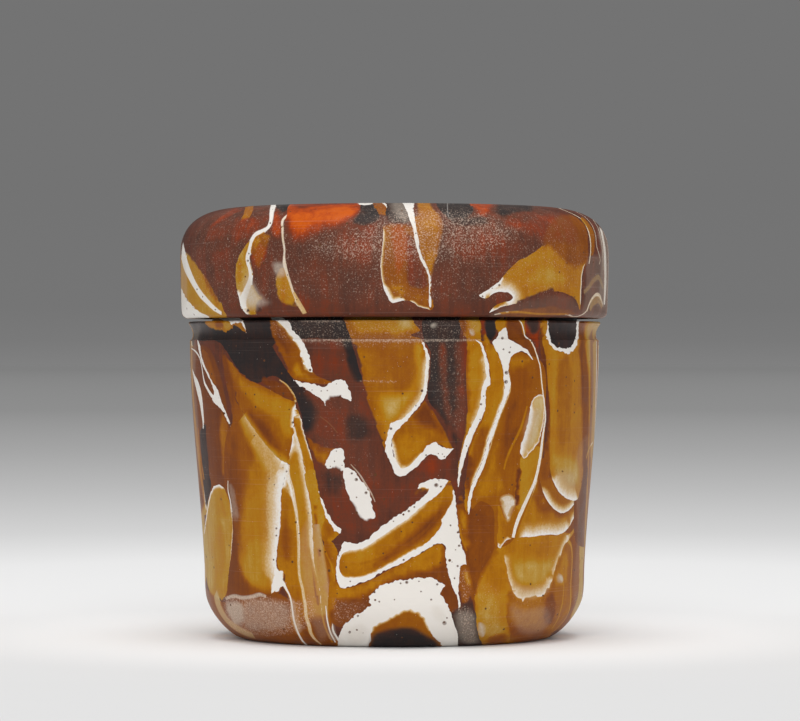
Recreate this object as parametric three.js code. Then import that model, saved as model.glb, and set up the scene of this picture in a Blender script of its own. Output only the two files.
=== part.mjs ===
import * as THREE from "three";

// A pyxis of mosaic glass: a small round box and the heavy lid that drops over its flange.
// Both were cast from fused slices of patterned glass cane and then turned on a wheel, so each
// is one solid of revolution. Millimetres, +Z up, with the origin at the centre of the flat foot.
// Every half section below is drawn as points of (radius, height), round the outside first and
// then back through the inside, which keeps the glass on the left of the line.

// Body, outside
const footRadius = 14.8; // edge of the flat that the box stands on
const heelRadius = 18.55; // where the round of the heel meets the wall
const heelHeight = 4.6;
const footRun = 1.45; // how far the heel's curve leaves the foot level
const heelRun = 1.75; // how far it meets the wall upright
const wallLean = 0.15; // the wall leans out this much over the lower pull of its curve
const lowerPull = 7.5; // length of the wall curve's lower tangent
const upperPull = 7.85; // length of its upper tangent
const shoulderRadius = 20.07; // the sharp lower edge of the groove under the rim
const shoulderHeight = 29.1;
const grooveDepth = 0.3; // the shallow wheel-cut groove, deepest just above that edge
const grooveRise = 0.55; // height of its deepest line above the edge
const rimFlare = 0.13; // the rim stands out this far past the edge below the groove
const rimHeight = 1.8; // from the groove's lower edge up to the ledge
const rimRound = 0.2;

// Flange that stands up inside the rim and holds the lid in place
const ledgeWidth = 2.3; // from the rim in to the flange
const flangeHeight = 3.2;
const flangeThickness = 1.9;
const flangeRound = 0.6;

// Body, inside
const wallThickness = 3.4; // at the bottom of the wall
const floorThickness = 3.5;
const floorFillet = 4.0; // round between the floor and the wall

// Lid
const seatGap = 0.3; // a hand-made lid stands off its ledge by this
const flangeClearance = 0.3; // all round, between the flange and the lid's skirt
const headroom = 4.5; // free height above the flange, under the lid
const lidTopThickness = 3.4;
const lidOverhang = 0.8; // the lid's widest line stands out this far past the rim
const skirtTaper = 0.13; // the skirt draws in by this at its foot
const skirtRound = 0.8; // outer round at the foot of the skirt
const mouthRound = 0.45; // inner round at the foot of the skirt
const crownWidth = 5.9; // how far the rounded edge of the top reaches in
const crownHeight = 4.4; // and down
const crownSideRun = 2.85; // upright and level pulls of that curve: fuller than a plain quarter round
const crownTopRun = 3.85;
const ceilingFillet = 2.0; // round between the skirt and the ceiling inside

// Facets
const turns = 64; // steps round the axis
const broadSteps = 9; // steps along the wall and the crown
const roundSteps = 6; // along the heel and the inner fillets
const edgeSteps = 3; // along the small rounds

// Places that follow from the sizes above
const rimRadius = shoulderRadius + rimFlare;
const ledgeHeight = shoulderHeight + rimHeight;
const flangeRadius = rimRadius - ledgeWidth;
const flangeTop = ledgeHeight + flangeHeight;
const mouthRadius = flangeRadius - flangeThickness;
const cavityRadius = heelRadius - wallThickness;
const lidSeat = ledgeHeight + seatGap;
const recessRadius = flangeRadius + flangeClearance;
const recessDepth = flangeHeight - seatGap + headroom;
const lidHeight = recessDepth + lidTopThickness;
const lidRadius = rimRadius + lidOverhang;
const skirtRadius = lidRadius - skirtTaper;

// A half section that is drawn one stretch at a time.
class HalfSection {
  constructor(radius, height) {
    this.points = [new THREE.Vector2(radius, height)];
  }

  get end() {
    return this.points.at(-1);
  }

  add(curve, steps) {
    this.points.push(...curve.getPoints(steps).slice(1));
    return this;
  }

  // A straight stretch.
  line(radius, height) {
    return this.add(new THREE.LineCurve(this.end, new THREE.Vector2(radius, height)), 1);
  }

  // A plain round, pulled towards one corner.
  round(cornerRadius, cornerHeight, radius, height, steps) {
    const corner = new THREE.Vector2(cornerRadius, cornerHeight);
    return this.add(new THREE.QuadraticBezierCurve(this.end, corner, new THREE.Vector2(radius, height)), steps);
  }

  // A curve with a tangent pull at each end.
  sweep([r1, h1], [r2, h2], [radius, height], steps) {
    const pulls = [new THREE.Vector2(r1, h1), new THREE.Vector2(r2, h2)];
    return this.add(new THREE.CubicBezierCurve(this.end, ...pulls, new THREE.Vector2(radius, height)), steps);
  }

  // A quarter circle about a centre, from one angle to another in degrees.
  arc(centreRadius, centreHeight, size, fromDegrees, toDegrees, steps) {
    const [from, to] = [fromDegrees, toDegrees].map(THREE.MathUtils.degToRad);
    const clockwise = toDegrees < fromDegrees;
    return this.add(new THREE.EllipseCurve(centreRadius, centreHeight, size, size, from, to, clockwise), steps);
  }

  // The section turned about the Z axis.
  turned() {
    return new THREE.LatheGeometry(this.points, turns).rotateX(Math.PI / 2);
  }
}

// Foot, heel and wall, up to the sharp edge under the rim.
function drawWall(section) {
  return section
    .line(footRadius, 0)
    .sweep([footRadius + footRun, 0], [heelRadius, heelHeight - heelRun], [heelRadius, heelHeight], roundSteps)
    .sweep(
      [heelRadius + wallLean, heelHeight + lowerPull],
      [shoulderRadius, shoulderHeight - upperPull],
      [shoulderRadius, shoulderHeight],
      broadSteps,
    );
}

// The wheel-cut groove and the rim that flares out over it.
function drawRim(section) {
  const grooveRadius = shoulderRadius - grooveDepth;
  const grooveHeight = shoulderHeight + grooveRise;
  const flareHeight = ledgeHeight - rimRound;
  return section
    .round(grooveRadius, shoulderHeight, grooveRadius, grooveHeight, edgeSteps)
    .round(grooveRadius, (grooveHeight + flareHeight) / 2, rimRadius, flareHeight, edgeSteps)
    .round(rimRadius, ledgeHeight, rimRadius - rimRound, ledgeHeight, edgeSteps);
}

// The ledge that carries the lid, and the flange inside it, over to the mouth of the box.
function drawFlange(section) {
  return section
    .line(flangeRadius, ledgeHeight)
    .line(flangeRadius, flangeTop - flangeRound)
    .arc(flangeRadius - flangeRound, flangeTop - flangeRound, flangeRound, 0, 90, edgeSteps)
    .line(mouthRadius + flangeRound, flangeTop)
    .arc(mouthRadius + flangeRound, flangeTop - flangeRound, flangeRound, 90, 180, edgeSteps);
}

// The cavity, from the mouth down the wall to the middle of the floor.
function drawCavity(section) {
  return section
    .line(mouthRadius, ledgeHeight)
    .line(cavityRadius, floorThickness + floorFillet)
    .arc(cavityRadius - floorFillet, floorThickness + floorFillet, floorFillet, 0, -90, roundSteps)
    .line(0, floorThickness);
}

function bodyGeometry() {
  const section = new HalfSection(0, 0);
  drawWall(section);
  drawRim(section);
  drawFlange(section);
  drawCavity(section);
  return section.turned();
}

// The hollow under the lid: ceiling, fillet and the inside of the skirt. Heights are from the
// foot of the skirt.
function drawRecess(section) {
  return section
    .line(recessRadius - ceilingFillet, recessDepth)
    .arc(recessRadius - ceilingFillet, recessDepth - ceilingFillet, ceilingFillet, 90, 0, roundSteps)
    .line(recessRadius, mouthRound)
    .round(recessRadius, 0, recessRadius + mouthRound, 0, edgeSteps);
}

// The outside of the lid: foot of the skirt, swelling side and crown, to the flat of the top.
function drawCrown(section) {
  const crownFoot = lidHeight - crownHeight;
  const bellyHeight = (skirtRound + crownFoot) / 2;
  return section
    .line(skirtRadius - skirtRound, 0)
    .round(skirtRadius, 0, skirtRadius, skirtRound, edgeSteps)
    .round(lidRadius, bellyHeight, lidRadius, crownFoot, edgeSteps)
    .sweep(
      [lidRadius, crownFoot + crownSideRun],
      [lidRadius - crownWidth + crownTopRun, lidHeight],
      [lidRadius - crownWidth, lidHeight],
      broadSteps,
    )
    .line(0, lidHeight);
}

function lidGeometry() {
  const section = new HalfSection(0, recessDepth);
  drawRecess(section);
  drawCrown(section);
  return section.turned();
}

const bodyGlass = new THREE.MeshStandardMaterial({ color: 0x7d4a1c, roughness: 0.35, metalness: 0 });
const lidGlass = new THREE.MeshStandardMaterial({ color: 0x6e3a26, roughness: 0.4, metalness: 0 });

const body = new THREE.Mesh(bodyGeometry(), bodyGlass);
body.name = "body";

const lid = new THREE.Mesh(lidGeometry(), lidGlass);
lid.name = "lid";
lid.position.z = lidSeat;

const pyxis = new THREE.Group();
pyxis.add(body, lid);

export default pyxis;
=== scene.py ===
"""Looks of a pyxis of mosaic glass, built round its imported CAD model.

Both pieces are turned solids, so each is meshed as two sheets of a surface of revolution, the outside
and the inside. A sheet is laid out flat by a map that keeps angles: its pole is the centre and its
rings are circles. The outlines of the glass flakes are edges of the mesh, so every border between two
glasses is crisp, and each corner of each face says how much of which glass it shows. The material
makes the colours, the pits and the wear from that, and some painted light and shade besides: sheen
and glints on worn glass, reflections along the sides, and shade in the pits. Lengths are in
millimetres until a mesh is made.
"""
import math
from dataclasses import dataclass, field

import bpy
import numpy as np
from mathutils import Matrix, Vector
from mathutils.geometry import delaunay_2d_cdt
from mathutils.kdtree import KDTree


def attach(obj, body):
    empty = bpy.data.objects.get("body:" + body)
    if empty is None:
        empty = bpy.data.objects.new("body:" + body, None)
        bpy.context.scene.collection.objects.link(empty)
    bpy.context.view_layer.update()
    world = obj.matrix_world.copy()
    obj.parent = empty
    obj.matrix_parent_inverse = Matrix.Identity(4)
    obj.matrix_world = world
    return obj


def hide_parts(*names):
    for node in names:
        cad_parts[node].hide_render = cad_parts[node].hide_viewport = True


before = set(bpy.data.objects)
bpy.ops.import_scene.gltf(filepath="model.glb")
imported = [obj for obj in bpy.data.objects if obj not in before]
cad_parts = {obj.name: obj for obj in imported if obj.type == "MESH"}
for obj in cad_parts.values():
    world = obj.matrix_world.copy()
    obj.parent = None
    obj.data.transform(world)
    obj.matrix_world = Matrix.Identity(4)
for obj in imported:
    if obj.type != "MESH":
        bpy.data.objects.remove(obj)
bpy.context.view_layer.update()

MM = 0.001  # metres in a millimetre
LEAF_POINTS = 14  # points in the outline of a flake that is made by chance
PIT_POINTS = 9  # points in the outline of a pit
PIT_DEPTH = 0.7  # depth of a pit for each millimetre of its radius
DEEPEST_PIT = 0.12
TAPER = 0.15  # share of a white border over which it narrows at each end
SOFT_ENOUGH = 0.3  # a shape that fades in over more than this all round needs no crisp edge
SHARP_TURN = math.radians(38)  # edges that turn more than this stay sharp

# Camera: level with the upper wall, a little right of the axis
EYE = np.array((0.54, -400.0, 27.5))
AIM = np.array((0.54, 0.0, 27.1))
VIEW_WIDTH = 78.6  # across the picture, in the plane of the axis
SENSOR = 36.0
NEAREST = 20.0  # nothing closer to the camera is drawn

# Mesh
OUTSIDE_STEP = 0.45  # distance between free points on the outside
INSIDE_STEP = 0.9
SECTION_STEP = 0.05  # and between points along a smoothed section
LINE_STEP = 0.16  # distance between points along an outline
CORNER_TURN = math.radians(38)  # a section turns more than this only at a real edge
RING_TURN = math.radians(14)  # and rings are set so that a section turns less than this between two
SEAM_POINTS = 288  # points on the ring where outside and inside meet
SEAM_ROOM = 0.25  # shapes stay this far from that ring
POLE_ROOM = 0.05  # and this far from the pole
RING_ROOM = 0.06  # a ring of free points stays this far from a real edge
FREE_ROOM = 0.45  # a free point stays this share of a step away from any outline
LONGEST_STEP = 0.5  # and a longer step counts as this
NORMAL_REACH = 0.02  # a normal comes from the places this far on both sides
BATCH = 4000  # points tested against an outline in one go
SIGHT_STEPS = np.linspace(0.93, 1.06, 1300)  # places along a line of sight, 1 in the axis plane
LEVEL_RUN = 8.0  # a side goes on inwards by this for each millimetre past its end
CHANNELS = ("cover", "rim", "tone", "matrix", "haze_and_reflection", "pit", "frost_and_sheen")


def make_camera():
    data = bpy.data.cameras.new("camera")
    data.sensor_width = SENSOR
    data.lens = SENSOR * abs(EYE[1]) / VIEW_WIDTH
    data.clip_start = NEAREST * MM
    camera = bpy.data.objects.new("camera", data)
    camera.location = Vector(EYE * MM)
    camera.rotation_euler = Vector(AIM - EYE).to_track_quat("-Z", "Y").to_euler()
    bpy.context.scene.collection.objects.link(camera)
    bpy.context.scene.camera = camera


# Sections, read from the frame


def column(node):
    """The CAD node's section as (radius, height) points, from its outer pole to its inner one."""
    where = {}
    for vertex in node.data.vertices:
        x, y, z = (round(c / MM, 4) for c in vertex.co)
        if abs(y) < 1e-3 and x > -1e-3:
            where[vertex.index] = (abs(x), z)
    links = {}
    for edge in node.data.edges:
        a, b = (where.get(i) for i in edge.vertices)
        if a and b and a != b:
            links.setdefault(a, set()).add(b)
            links.setdefault(b, set()).add(a)
    middle = sum(z for _, z in where.values()) / len(where)
    poles = sorted((p for p in links if p[0] == 0), key=lambda p: abs(p[1] - middle), reverse=True)
    path = [poles[0]]
    while path[-1] != poles[1]:
        path.append(next(p for p in links[path[-1]] if p not in path[-2:]))
    return np.array(path)


def smoothed(points):
    """A centripetal Catmull-Rom line through the points, straight at real edges, and where those are."""
    legs = np.diff(points, axis=0)
    sizes = np.linalg.norm(legs, axis=1)
    turn = np.zeros(len(points))
    cosines = (legs[1:] * legs[:-1]).sum(1) / sizes[1:] / sizes[:-1]
    turn[1:-1] = np.arccos(np.clip(cosines, -1, 1))
    corner = turn > CORNER_TURN
    corner[[0, -1]] = True
    line, corners = [points[0]], []
    for i in range(len(points) - 1):
        a, b = points[i], points[i + 1]
        before = 2 * a - b if corner[i] else points[i - 1]
        after = 2 * b - a if corner[i + 1] else points[i + 2]
        gaps = [max(np.linalg.norm(q - p), 1e-6) ** 0.5 for p, q in ((before, a), (a, b), (b, after))]
        slope_a = (a - before) / gaps[0] - (b - before) / (gaps[0] + gaps[1]) + (b - a) / gaps[1]
        slope_b = (b - a) / gaps[1] - (after - a) / (gaps[1] + gaps[2]) + (after - b) / gaps[2]
        count = max(2, int(np.linalg.norm(b - a) / SECTION_STEP))
        t = np.linspace(0, 1, count + 1)[1:, None]
        line.extend(
            (2 * t**3 - 3 * t**2 + 1) * a
            + (t**3 - 2 * t**2 + t) * slope_a * gaps[1]
            + (3 * t**2 - 2 * t**3) * b
            + (t**3 - t**2) * slope_b * gaps[1]
        )
        if corner[i + 1] and i + 2 < len(points):
            corners.append(len(line) - 1)
    line = np.array(line)
    line[:, 0] = np.clip(line[:, 0], 0, points[:, 0].max())
    line[:, 1] = np.clip(line[:, 1], points[:, 1].min(), points[:, 1].max())
    return line, corners


class Sheet:
    """One side of a piece, from its pole to the ring where the two sides meet."""

    def __init__(self, points, step, facing):
        line, corners = smoothed(points)
        self.step = step
        self.facing = facing  # 1 where the pole faces up, -1 where it faces down
        self.r, self.z = line.T
        self.s = np.concatenate(([0], np.cumsum(np.linalg.norm(np.diff(line, axis=0), axis=1))))
        self.corners = self.s[corners]
        middle = np.maximum((self.r[1:] + self.r[:-1]) / 2, 1e-6)
        grown = np.concatenate(([0], np.cumsum((np.diff(self.s) / middle)[1:])))
        self.rho = np.concatenate(([0], self.s[1] * np.exp(grown)))
        self.length = self.s[-1]

    def flat(self, angle, s):
        """Angle and length along the section, laid out flat."""
        rho = np.interp(s, self.s, self.rho)
        return np.stack((rho * np.cos(angle), rho * np.sin(angle)), axis=-1)

    def unrolled(self, uv):
        u, v = uv[..., 0], uv[..., 1]
        return np.arctan2(v, u), np.interp(np.hypot(u, v), self.rho, self.s)

    def point(self, uv):
        angle, s = self.unrolled(uv)
        r = np.interp(s, self.s, self.r)
        return np.stack((r * np.sin(angle), -r * np.cos(angle), np.interp(s, self.s, self.z)), axis=-1)

    def spread(self, uv):
        """How much longer a line is on the flat map than on the piece."""
        rho = np.hypot(uv[..., 0], uv[..., 1])
        return rho / np.maximum(np.interp(rho, self.rho, self.r), 1e-3)

    def side(self):
        """The stretch that the camera sees: lengths, radii and heights in order of height."""
        later = self.corners[self.corners > self.s[np.argmax(self.r)]]
        stretch = self.s <= (later[0] if len(later) else self.length)
        z = self.z[stretch]
        stretch[: len(z)] &= (z > z.min() + 1e-3) & (z < z.max() - 1e-3)
        order = np.argsort(self.z[stretch], kind="stable")
        return tuple(values[stretch][order] for values in (self.s, self.r, self.z))

    def seen(self, points):
        """Where the camera's lines of sight through points (x, z) of the axis plane meet this sheet.

        Past the top or the bottom the side is taken as going on inwards, nearly level, and a line of
        sight that passes beside the piece is taken on round its edge by as much as it misses."""
        s, r, z = self.side()
        target = np.column_stack((points[:, 0], np.zeros(len(points)), points[:, 1]))
        ray = EYE + SIGHT_STEPS[:, None, None] * (target - EYE)
        beyond = np.maximum(ray[..., 2] - z[-1], 0) - np.maximum(z[0] - ray[..., 2], 0)
        gap = np.hypot(ray[..., 0], ray[..., 1]) - np.interp(ray[..., 2], z, r) + LEVEL_RUN * abs(beyond)
        met = (gap <= 0).any(axis=0)
        step = np.where(met, np.argmax(gap <= 0, axis=0), np.argmin(gap, axis=0))
        each = np.arange(len(points))
        place = ray[step, each]
        miss = np.where(met, 0, gap[step, each])
        angle = np.arctan2(place[:, 0], -place[:, 1]) + np.sign(place[:, 0]) * miss / r.max()
        upwards = 1 if s[-1] > s[0] else -1
        return angle, np.interp(place[:, 2], z, s) + upwards * LEVEL_RUN * beyond[step, each]

    def wrapped(self, points):
        """Points (way round the widest line from the front, length along the section from the pole)."""
        return points[:, 0] / self.r.max(), points[:, 1]

    def on_disc(self, points):
        """Points (x, y) of the flat round the pole."""
        return np.arctan2(points[:, 0], -points[:, 1]), np.hypot(points[:, 0], points[:, 1])


# Shapes of glass


@dataclass
class Shape:
    """A closed outline filled with one glass.

    sets gives the channels that it sets. white lists runs of the outline, each from one of its points to
    another, that have a white border, with the border's width and how far it takes to fade inwards. fade
    lists runs across which the glass comes in gradually, with the distance that takes."""

    outline: list
    sets: dict
    white: tuple = ()
    fade: tuple = ()
    ragged: float = 0.0
    strength: float = 1.0
    place: str = "seen"


@dataclass
class Streak:
    """A line of white glass. widths are given along it and spread evenly."""

    path: list
    widths: tuple
    soft: float = 0.06
    strength: float = 1.0
    sets: dict = field(default_factory=lambda: {"cover": 1, "rim": -1.5})
    place: str = "seen"


def amber(tone, outline, white=(), fade=(), ragged=0.03, **more):
    return Shape(outline, {"cover": 1, "rim": 3, "tone": tone, "haze_and_reflection": 0}, white, fade, ragged, **more)


def milk(outline, fade=(), ragged=0.05, **more):
    return Shape(outline, {"cover": 1, "rim": -1.5, "haze_and_reflection": 0}, (), fade, ragged, **more)


def ground(matrix, outline, fade=(), ragged=0.02, **more):
    return Shape(outline, {"cover": 0, "matrix": matrix, "haze_and_reflection": 0}, (), fade, ragged, **more)


def tint(tone, outline, reach, **more):
    return Shape(outline, {"tone": tone}, (), ((0, 0, reach),), 0, **more)


# A pale milky veil: weathering in some places, painted reflection and sheen in others
def haze_and_reflection(amount, outline, reach, **more):
    return Shape(outline, {"haze_and_reflection": amount}, (), ((0, 0, reach),), 0, **more)


# Frosted wear, and in places a painted sheen where a lamp's highlight falls
def frost_and_sheen(amount, outline, reach):
    return Shape(outline, {"frost_and_sheen": amount}, (), ((0, 0, reach),), 0)


def ember(cover, outline, reach, matrix=-0.6):
    """Ground and flake seen through each other, by default with a red glow."""
    return Shape(outline, {"cover": cover, "matrix": matrix}, (), ((0, 0, reach),), 0)


def rounded(points, closed):
    """A centripetal Catmull-Rom line through the points, and how far along them each of its points is."""
    points = np.array(points, float)
    count = len(points)
    if closed:
        ring = np.vstack((points[-1], points, points[:2]))
    else:
        ring = np.vstack((2 * points[0] - points[1], points, 2 * points[-1] - points[-2]))
    line, along = [], []
    for i in range(count if closed else count - 1):
        p, a, b, q = ring[i : i + 4]
        gaps = [max(np.linalg.norm(y - x), 1e-6) ** 0.5 for x, y in ((p, a), (a, b), (b, q))]
        slope_a = (a - p) / gaps[0] - (b - p) / (gaps[0] + gaps[1]) + (b - a) / gaps[1]
        slope_b = (b - a) / gaps[1] - (q - a) / (gaps[1] + gaps[2]) + (q - b) / gaps[2]
        t = np.linspace(0, 1, max(1, math.ceil(np.linalg.norm(b - a) / LINE_STEP)), endpoint=False)
        u = t[:, None]
        line.append(
            (2 * u**3 - 3 * u**2 + 1) * a
            + (u**3 - 2 * u**2 + u) * slope_a * gaps[1]
            + (3 * u**2 - 2 * u**3) * b
            + (u**3 - u**2) * slope_b * gaps[1]
        )
        along.append(i + t)
    if not closed:
        line.append(points[-1:])
        along.append(np.array([count - 1.0]))
    return np.vstack(line), np.concatenate(along)


def normals(line, closed):
    if closed:
        ahead = np.roll(line, -1, axis=0) - np.roll(line, 1, axis=0)
    else:
        ahead = np.gradient(line, axis=0)
    ahead /= np.maximum(np.linalg.norm(ahead, axis=1, keepdims=True), 1e-9)
    return np.stack((ahead[:, 1], -ahead[:, 0]), axis=1)


def lay(sheet, shape, points, closed):
    """A rounded line of a shape, on the flat map, with no long step."""
    line, along = rounded(points, closed)
    angle, s = getattr(sheet, shape.place)(line)
    uv = sheet.flat(angle, np.clip(s, POLE_ROOM, sheet.length - SEAM_ROOM))
    ends = np.vstack((uv, uv[:1])) if closed else uv
    marks = np.append(along, len(points)) if closed else along
    solid = sheet.point(ends)
    gaps = np.linalg.norm(np.diff(solid, axis=0), axis=1)
    parts = np.maximum(np.ceil(gaps / (1.5 * LINE_STEP)), 1).astype(int)
    steps = np.concatenate([i + np.arange(n) / n for i, n in enumerate(parts)])
    if not closed:
        steps = np.append(steps, len(ends) - 1.0)
    index = np.arange(len(ends))
    uv = np.column_stack([np.interp(steps, index, ends[:, k]) for k in (0, 1)])
    return uv, np.interp(steps, index, marks)


def roughened(sheet, uv, amount, rng):
    """The closed line with small uneven bites in it."""
    wave = rng.normal(size=len(uv))
    wave = (wave + np.roll(wave, 1) * 0.7) / 1.2
    shift = amount * sheet.spread(uv) * np.clip(wave, -2, 2)
    return uv + normals(uv, True) * shift[:, None]


def inside(polygon, points):
    """Which points lie within the closed polygon."""
    x, y = points[:, 0, None], points[:, 1, None]
    ax, ay = polygon.T
    bx, by = np.roll(polygon, -1, axis=0).T
    crosses = (ay > y) != (by > y)
    with np.errstate(divide="ignore", invalid="ignore"):
        left = x < (bx - ax) * (y - ay) / (by - ay) + ax
    return (crosses & left).sum(axis=1) % 2 == 1


def nearest(points, line):
    """Distance from each point to a line, and how far along it the nearest place is, 0 to 1."""
    a, b = line[:-1], line[1:]
    legs = b - a
    sizes = np.maximum((legs**2).sum(1), 1e-12)
    share = np.clip(np.einsum("nmk,mk->nm", points[:, None] - a, legs) / sizes, 0, 1)
    away = np.linalg.norm(points[:, None] - a - share[..., None] * legs, axis=2)
    best = away.argmin(axis=1)
    each = np.arange(len(points))
    run = np.concatenate(([0], np.cumsum(np.sqrt(sizes))))
    return away[each, best], (run[best] + share[each, best] * np.sqrt(sizes[best])) / run[-1]


def eased(x):
    x = np.clip(x, 0, 1)
    return x * x * (3 - 2 * x)


def stretch_of(line, along, start, end, count):
    """The part of a closed line from one of its given points on to another."""
    if start == end:
        return np.vstack((line, line[:1]))
    place = (along - start) % count
    reach = (end - start) % count
    order = np.argsort(place)
    order = order[place[order] <= reach + 1e-6]
    return line[order]


# Meshing and painting a sheet


def rings(sheet):
    """Lengths along the section for the rings of free points, closer together where it turns."""
    legs = np.column_stack((np.diff(sheet.r), np.diff(sheet.z)))
    course = np.unwrap(np.arctan2(legs[:, 1], legs[:, 0]))
    turned = np.concatenate(([0, 0], np.cumsum(np.minimum(abs(np.diff(course)), CORNER_TURN / 2))))
    measure = sheet.s / sheet.step + turned / RING_TURN
    found = np.interp(np.arange(1, int(measure[-1])), measure, sheet.s)
    fixed = np.append(sheet.corners, sheet.length)
    clear = abs(found[:, None] - fixed).min(axis=1) > RING_ROOM
    return found[clear]


def ring_points(sheet, s, offset=0.0, count=None):
    r = np.interp(s, sheet.s, sheet.r)
    count = count or max(6, round(2 * math.pi * r / sheet.step))
    return sheet.flat((np.arange(count) + offset) * 2 * math.pi / count, np.full(count, s))


class Cloth:
    """The points and edges that a sheet is triangulated from."""

    def __init__(self, sheet):
        self.sheet = sheet
        self.parts, self.edges, self.count = [], [], 0

    def add(self, uv, closed):
        steps = np.arange(len(uv) - (0 if closed else 1))
        self.edges.append(np.column_stack((steps, (steps + 1) % len(uv))) + self.count)
        self.parts.append(uv)
        self.count += len(uv)

    def fill(self):
        """Free points wherever no outline is near."""
        taken = np.vstack(self.parts)
        tree = KDTree(len(taken))
        for i, place in enumerate(self.sheet.point(taken)):
            tree.insert(place, i)
        tree.balance()
        free = [np.zeros((1, 2))]
        room = FREE_ROOM * min(self.sheet.step, LONGEST_STEP)
        for i, s in enumerate(rings(self.sheet)):
            uv = ring_points(self.sheet, s, i % 2 / 2)
            free.append(uv[[tree.find(place)[2] > room for place in self.sheet.point(uv)]])
        self.parts.append(np.vstack(free))

    def cut(self):
        """Triangulates it and gives places on the flat map and triangles."""
        self.fill()
        points = [Vector(p) for p in np.vstack(self.parts).tolist()]
        edges = np.vstack(self.edges).tolist()
        uv, _, faces, *_ = delaunay_2d_cdt(points, edges, [], 0, 1e-6)
        return np.array([tuple(p) for p in uv]), np.array(faces)


def band(sheet, streak):
    """Both sides of a streak at its width and at the end of its soft edge, and its middle line."""
    uv, along = lay(sheet, streak, streak.path, False)
    share = along / (len(streak.path) - 1)
    width = np.interp(share, np.linspace(0, 1, len(streak.widths)), streak.widths)
    out = normals(uv, False) * sheet.spread(uv)[:, None]
    sides = []
    for half in (width / 2, width / 2 + streak.soft):
        sides.append(np.vstack((uv + out * half[:, None], (uv - out * half[:, None])[::-1])))
    return sides


class Painter:
    """The glass at each corner of a sheet's triangles."""

    def __init__(self, sheet, uv, faces, base):
        self.sheet, self.uv, self.faces = sheet, uv, faces
        self.solid = sheet.point(uv)
        self.centres = uv[faces].mean(axis=1)
        self.values = np.tile([float(base[c]) for c in CHANNELS], (len(faces), 3, 1))

    def within(self, polygon):
        low, high = polygon.min(axis=0), polygon.max(axis=0)
        near = np.flatnonzero(((self.centres > low) & (self.centres < high)).all(axis=1))
        parts = [near[i : i + BATCH] for i in range(0, len(near), BATCH)]
        return np.concatenate([p[inside(polygon, self.centres[p])] for p in parts] or [near])

    def touching(self, polygon):
        """Which triangles have a corner within the closed polygon, and the vertices within it."""
        low, high = polygon.min(axis=0), polygon.max(axis=0)
        near = np.flatnonzero(((self.uv > low) & (self.uv < high)).all(axis=1))
        held = np.zeros(len(self.uv), bool)
        for i in range(0, len(near), BATCH):
            part = near[i : i + BATCH]
            held[part] = inside(polygon, self.uv[part])
        return np.flatnonzero(held[self.faces].any(axis=1)), held

    def blend(self, chosen, alpha, sets, rim=None):
        """Mixes the channels in sets into the chosen triangles. alpha and rim are given by vertex."""
        corners = self.faces[chosen]
        mix = alpha[corners]
        bare = self.values[chosen, :, 0] < 0.5
        for name, value in sets.items():
            k = CHANNELS.index(name)
            new = rim[corners] if name == "rim" and rim is not None else value
            old = self.values[chosen, :, k]
            if name in ("rim", "tone") and "cover" in sets:
                old = np.where(bare, new, old)
            self.values[chosen, :, k] = old * (1 - mix) + new * mix

    def fill(self, shape, polygon, along):
        if whole_fade(shape):
            chosen, held = self.touching(polygon)
        else:
            chosen, held = self.within(polygon), np.ones(len(self.uv), bool)
        used = np.unique(self.faces[chosen])
        if not len(used):
            return
        spots, line, count = self.solid[used], self.sheet.point(polygon), len(shape.outline)
        alpha = np.zeros(len(self.uv))
        alpha[used] = shape.strength * held[used]
        for start, end, reach in shape.fade:
            away, _ = nearest(spots, stretch_of(line, along, start, end, count))
            alpha[used] *= eased(away / reach)
        rim = None
        if shape.white:
            rim = np.full(len(self.uv), shape.sets["rim"], float)
        for start, end, width, soft in shape.white:
            away, share = nearest(spots, stretch_of(line, along, start, end, count))
            taper = 1.0 if start == end else eased(np.minimum(share, 1 - share) / TAPER)
            depth = (away - width * taper) / soft + 1.2 * (1 - taper)
            rim[used] = np.minimum(rim[used], depth)
        self.blend(chosen, alpha, shape.sets, rim)

    def sink(self, outer, inner, depth):
        """A pit: painted shade inside, and sunk below the surface by depth."""
        for polygon, dark in ((outer, 0.6), (inner, 1.0)):
            chosen = self.within(polygon)
            self.values[chosen, :, CHANNELS.index("pit")] = dark
        deep = np.unique(self.faces[self.within(inner)])
        self.solid[deep] -= self.outwards(self.uv[deep]) * depth

    def outwards(self, uv):
        """Unit normals of the sheet that point out of the glass."""
        angle, s = self.sheet.unrolled(uv)
        near = np.clip(np.stack((s - NORMAL_REACH, s + NORMAL_REACH)), 0, self.sheet.length)
        sides = (self.sheet.r, self.sheet.z)
        dr, dz = (np.diff(np.interp(near, self.sheet.s, side), axis=0)[0] for side in sides)
        size = self.sheet.facing / np.maximum(np.hypot(dr, dz), 1e-9)
        return np.stack((-dz * size * np.sin(angle), dz * size * np.cos(angle), dr * size), axis=-1)

    def draw(self, streak, core, edge):
        for polygon, whole in ((edge, False), (core, True)):
            chosen = self.within(polygon)
            used = np.unique(self.faces[chosen])
            if not len(used):
                continue
            alpha = np.zeros(len(self.uv))
            if whole:
                alpha[used] = streak.strength
            else:
                half = len(core) // 2
                line = self.sheet.point(core)
                gap_a, _ = nearest(self.solid[used], line[:half])
                gap_b, _ = nearest(self.solid[used], line[half:])
                gap = np.minimum(gap_a, gap_b)
                alpha[used] = streak.strength * (1 - eased(gap / max(streak.soft, 1e-3)))
                chosen = np.setdiff1d(chosen, self.within(core))
            self.blend(chosen, alpha, streak.sets)


# Glass seen from the front. Places are millimetres in the plane of the axis: right of the axis, and up.
# White borders are (from point, to point, width, fade) and soft edges (from point, to point, reach).

MILKY = {"cover": 1, "rim": -0.3, "tone": 0.8}  # softer kinds of line than plain white
PALE = {"cover": 1, "rim": 0.05, "tone": 0.8}
CREAM = {"cover": 1, "rim": 0.2, "tone": 0.8}
TAN = {"cover": 1, "rim": 0.5, "tone": 0.74}

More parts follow.
